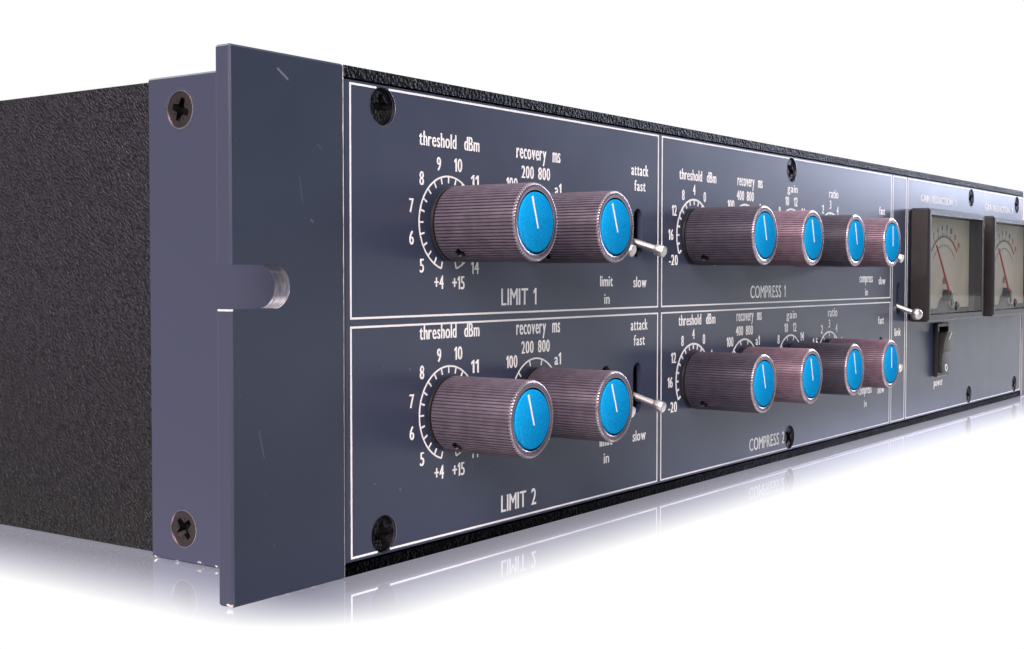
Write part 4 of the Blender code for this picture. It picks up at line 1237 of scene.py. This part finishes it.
def make_meters():
    """Each meter's dial, needle, zero screw and the raised line round its frame."""
    dial_y = PANEL_FACE - 1.9
    for number in (1, 2):
        low, high = (Vector(((corner.x - CORNER.x) / MM, (corner.z - CORNER.z) / MM))
                     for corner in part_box(f"meter_{number}_case"))
        meter_face(number, low, high, dial_y)
        centre, level = (low.x + high.x) / 2, (low.y + high.y) / 2
        pointer_y = depth(f"meter_{number}_needle")[0] + 0.4
        needle = needle_mesh(dial_y - pointer_y, dial_y - pointer_y - 0.5)
        pivot = at(centre, dial_y, low.y + METER_WALL + PIVOT_UP)
        add_piece(f"meter_{number}_red_needle", needle, place("front", pivot, NEEDLE_TILT),
                  f"meter_{number}_pointer", (f"meter_{number}_needle",))
        zero = slotted_screw("zero_screw", 1.7, 0.45, black_plastic, 0.45)
        on_lens = at(centre, depth(f"meter_{number}_lens")[0], low.y + 4.9)
        add_piece(f"meter_{number}_zero_screw", zero, place("front", on_lens, 28))
        wide, tall = high.x - low.x, high.y - low.y
        ridge = cut(prism(bmesh.new(), rounded_outline(wide - 1.5, tall - 1.5, 1.0), -0.2, 0.12),
                    prism(bmesh.new(), rounded_outline(wide - 2.3, tall - 2.3, 0.8), -1.0, 1.0))
        on_case = at(centre, depth(f"meter_{number}_case")[0], level)
        add_piece(f"meter_{number}_frame_ridge", finish_mesh("frame_ridge", ridge, [black_plastic]),
                  place("front", on_case))


ROCKER_PIVOT_Y = 3.0
ROCKER_TILT = 7.0
DISH = 0.7                     # how far the rocker's faces sink between its ends and its middle
MARK_AT = 0.76                 # how far out the marks are, as a share of half the rocker


def make_rocker():
    """The mains rocker: two dished faces, a ridge at its middle, and the usual bar and ring marks."""
    low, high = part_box("power_switch_bezel")
    x, z = middle("power_switch_bezel")
    half = (high.z - low.z) / MM / 2 - 2.0
    wide = (high.x - low.x) / MM / 2 - 1.6
    top = ROCKER_PIVOT_Y - PANEL_FACE + 4.0
    side = [(half, top), (half * 0.55, top - DISH), (0.7, top - 0.86), (0.25, top - 0.66),
            (-0.25, top - 0.66), (-0.7, top - 0.86), (-half * 0.55, top - DISH), (-half, top),
            (-half * 0.75, -1.0), (0, -3.0), (half * 0.75, -1.0)]
    bm = skin(bmesh.new(), [[Vector((across, up, out)) for up, out in side] for across in (-wide, wide)])
    bmesh.ops.recalc_face_normals(bm, faces=bm.faces)
    sharp = [edge for edge in bm.edges if edge.calc_face_angle(0) > 0.5]
    bmesh.ops.bevel(bm, geom=sharp, offset=0.28, segments=3, profile=0.5, affect="EDGES", clamp_overlap=True)
    for mark in rocker_marks(half, top):
        merge(bm, mark)
    add_piece("mains_rocker", finish_mesh("rocker", bm, [black_plastic, white_ink]),
              tilted(x, ROCKER_PIVOT_Y, z, ROCKER_TILT), "rocker", ("power_rocker",))


def rocker_marks(half, top):
    """The bar above and the ring below, each laid on its sloping face."""
    slope = math.atan2(DISH, half * 0.45)
    bar = slab(bmesh.new(), -0.3, 0.3, -1.3, 1.3, -0.1, 0.04, 1)
    hoop = cut(lathe(bmesh.new(), [(1.35, -0.1), (1.35, 0.04)], 28),
               lathe(bmesh.new(), [(0.85, -1.0), (0.85, 1.0)], 28))
    for face in hoop.faces:
        face.material_index = 1
    for mark, side in ((bar, 1), (hoop, -1)):
        turn = Matrix.Rotation(slope * side, 4, "X")
        spot = Vector((0, side * half * MARK_AT, top - DISH + DISH * (MARK_AT - 0.55) / 0.45))
        bmesh.ops.transform(mark, matrix=Matrix.Translation(spot) @ turn, verts=mark.verts)
        yield mark


# --- back ---------------------------------------------------------------------

PIN_ANGLES = (-90, 30, 150)
PIN_CIRCLE = 3.5
KNURL_SIDES = 144
SOCKETS = ("input_socket_1", "input_socket_2", "output_socket_1", "output_socket_2")


def pin_spots():
    """The three contacts as places on the rear face, seen from behind."""
    for angle in PIN_ANGLES:
        turn = math.radians(angle)
        yield -PIN_CIRCLE * math.cos(turn), -PIN_CIRCLE * math.sin(turn)


def at_pins(profile, sides):
    """The same turned shape at each of the three contacts."""
    bm = bmesh.new()
    for spot in pin_spots():
        lathe(bm, profile, sides, 0, spot)
    return bm


def make_sockets():
    """The insert, contacts, latch and screws of each signal socket."""
    small = screw_mesh("flange_screw", 1.75, zinc, 0.1, 0.7)
    for name in SOCKETS:
        x, z = middle(name)
        _, face = depth(name)
        where = place("rear", at(x, face, z))
        female = name.startswith("input")
        if female:
            insert = cut(lathe(bmesh.new(), [(6.95, -1.1), (6.95, -0.6), (6.8, -0.5)]),
                         at_pins([(1.32, -3), (1.32, 1)], 20))
            contacts = at_pins([(1.3, -3.0), (1.3, -0.65), (0.85, -0.65), (0.85, -2.4)], 20)
        else:
            insert = cut(lathe(bmesh.new(), [(9.2, -12.1), (9.2, -11.6)]),
                         at_pins([(1.3, -14), (1.3, -10)], 20))
            contacts = at_pins([(1.27, -11.9), (1.27, -1.9), (1.05, -1.55), (0.6, -1.42)], 24)
        add_piece(f"{name}_insert", finish_mesh("insert", insert, [dark_plastic]), where)
        add_piece(f"{name}_contacts", finish_mesh("contacts", contacts, [gold]), where)
        if female:
            latch = prism(bmesh.new(), rounded_outline(7.0, 3.6, 0.8), -0.3, 0.45)
            for step in range(4):
                slab(latch, -2.4, 2.4, -1.1 + step * 0.65, -0.8 + step * 0.65, 0.4, 0.6)
            add_piece(f"{name}_latch", finish_mesh("latch", latch, [steel]),
                      place("rear", at(x, face, z + 12.6)))
        for side, end in ((-1, "low"), (1, "high")):
            spot = at(x + side * 9.6, face, z + side * 12.3)
            add_piece(f"{name}_screw_{end}", small, place("rear", spot, 40 * side))


def make_inlet():
    """Earth, line and neutral blades in the mains inlet, and its screws."""
    x, z = middle("mains_inlet")
    _, face = depth("mains_inlet")
    blades = bmesh.new()
    for across, up in ((-7.0, -1.0), (0.0, 3.0), (7.0, -1.0)):
        rings = []
        for height, wide, tall in ((-14.9, 1, 1), (-2.4, 1, 1), (-1.85, 0.8, 0.88)):
            rings.append([Vector((across + a * wide, up + b * tall, height))
                          for a, b in rounded_outline(2.12, 4.12, 0.3, 2)])
        skin(blades, rings)
    add_piece("inlet_blades", finish_mesh("blades", blades, [nickel]), place("rear", at(x, face, z)))
    screw = screw_mesh("inlet_screw", 2.5, zinc, 0.12, 1.0)
    for side, end in ((-1, "right"), (1, "left")):
        spot = at(x + side * 20.0, face, z)
        add_piece(f"inlet_screw_{end}", screw, place("rear", spot, 25 * side))


def make_fuse_cap():
    """The fuse holder's knurled cap with its coin slot."""
    x, z = middle("fuse_holder")
    _, end = depth("fuse_holder")
    grip = [circle(radius, height, KNURL_SIDES)
            for radius, height in ((7.55, -9.2), (7.55, -7.0), (7.2, -6.9))]
    for height in (-6.5, -1.2):
        grip.append([Vector((*polar(7.5 if step % 4 < 2 else 7.0, 2 * math.pi * step / KNURL_SIDES), height))
                     for step in range(KNURL_SIDES)])
    grip += [circle(6.6, -0.15, KNURL_SIDES), circle(6.2, 0.0, KNURL_SIDES)]
    cap = cut(skin(bmesh.new(), grip), slab(bmesh.new(), -4.6, 4.6, -0.7, 0.7, -1.6, 1.0))
    lathe(cap, [(6.3, -47.0), (6.3, -9.0)], 32)
    add_piece("fuse_cap_knurled", finish_mesh("fuse_cap", cap, [black_plastic]),
              place("rear", at(x, end, z), 20), "root", ("fuse_holder",))


def print_back():
    """Plain names for what plugs in at the back."""
    sheet = Sheet()
    names = [(name, text, 20.5, 2.0 * len(text) - 1.0)
             for name, text in zip(SOCKETS, ("INPUT  1", "INPUT  2", "OUTPUT  1", "OUTPUT  2"))]
    names += [("mains_inlet", "MAINS", 18.0, 11.0), ("fuse_holder", "FUSE", 18.0, 8.4)]
    for name, text, above, wide in names:
        x, z = middle(name)
        sheet.words(text, WIDTH / 2 - x, z + above, wide, 3.2)
    sheet.print("rear_labels", white_ink, "rear", at(WIDTH / 2, REAR_FACE, 0))


# --- run ----------------------------------------------------------------------

cad_materials()
make_camera()
make_world()
make_floor()
softbox("right_window", (1400, -250, 368), (350, 0, 50), (0.22, 0.465), 6.0, (0.72, 0.78, 1.0))
softbox("left_key", (-900, -250, 700), (100, 60, 40), (0.9, 0.9), 42.0, (1.0, 0.83, 0.8))
softbox("top_fill", (250, 60, 1300), (250, 100, 0), (1.4, 1.0), 9.0)
softbox("rear_fill", (500, 1300, 700), (240, 200, 40), (1.2, 0.9), 12.0)
make_knobs()
make_toggles()
make_screws()
make_meters()
make_rocker()
make_sockets()
make_inlet()
make_fuse_cap()
print_front()
print_back()

bpy.context.scene.view_settings.view_transform = "Standard"
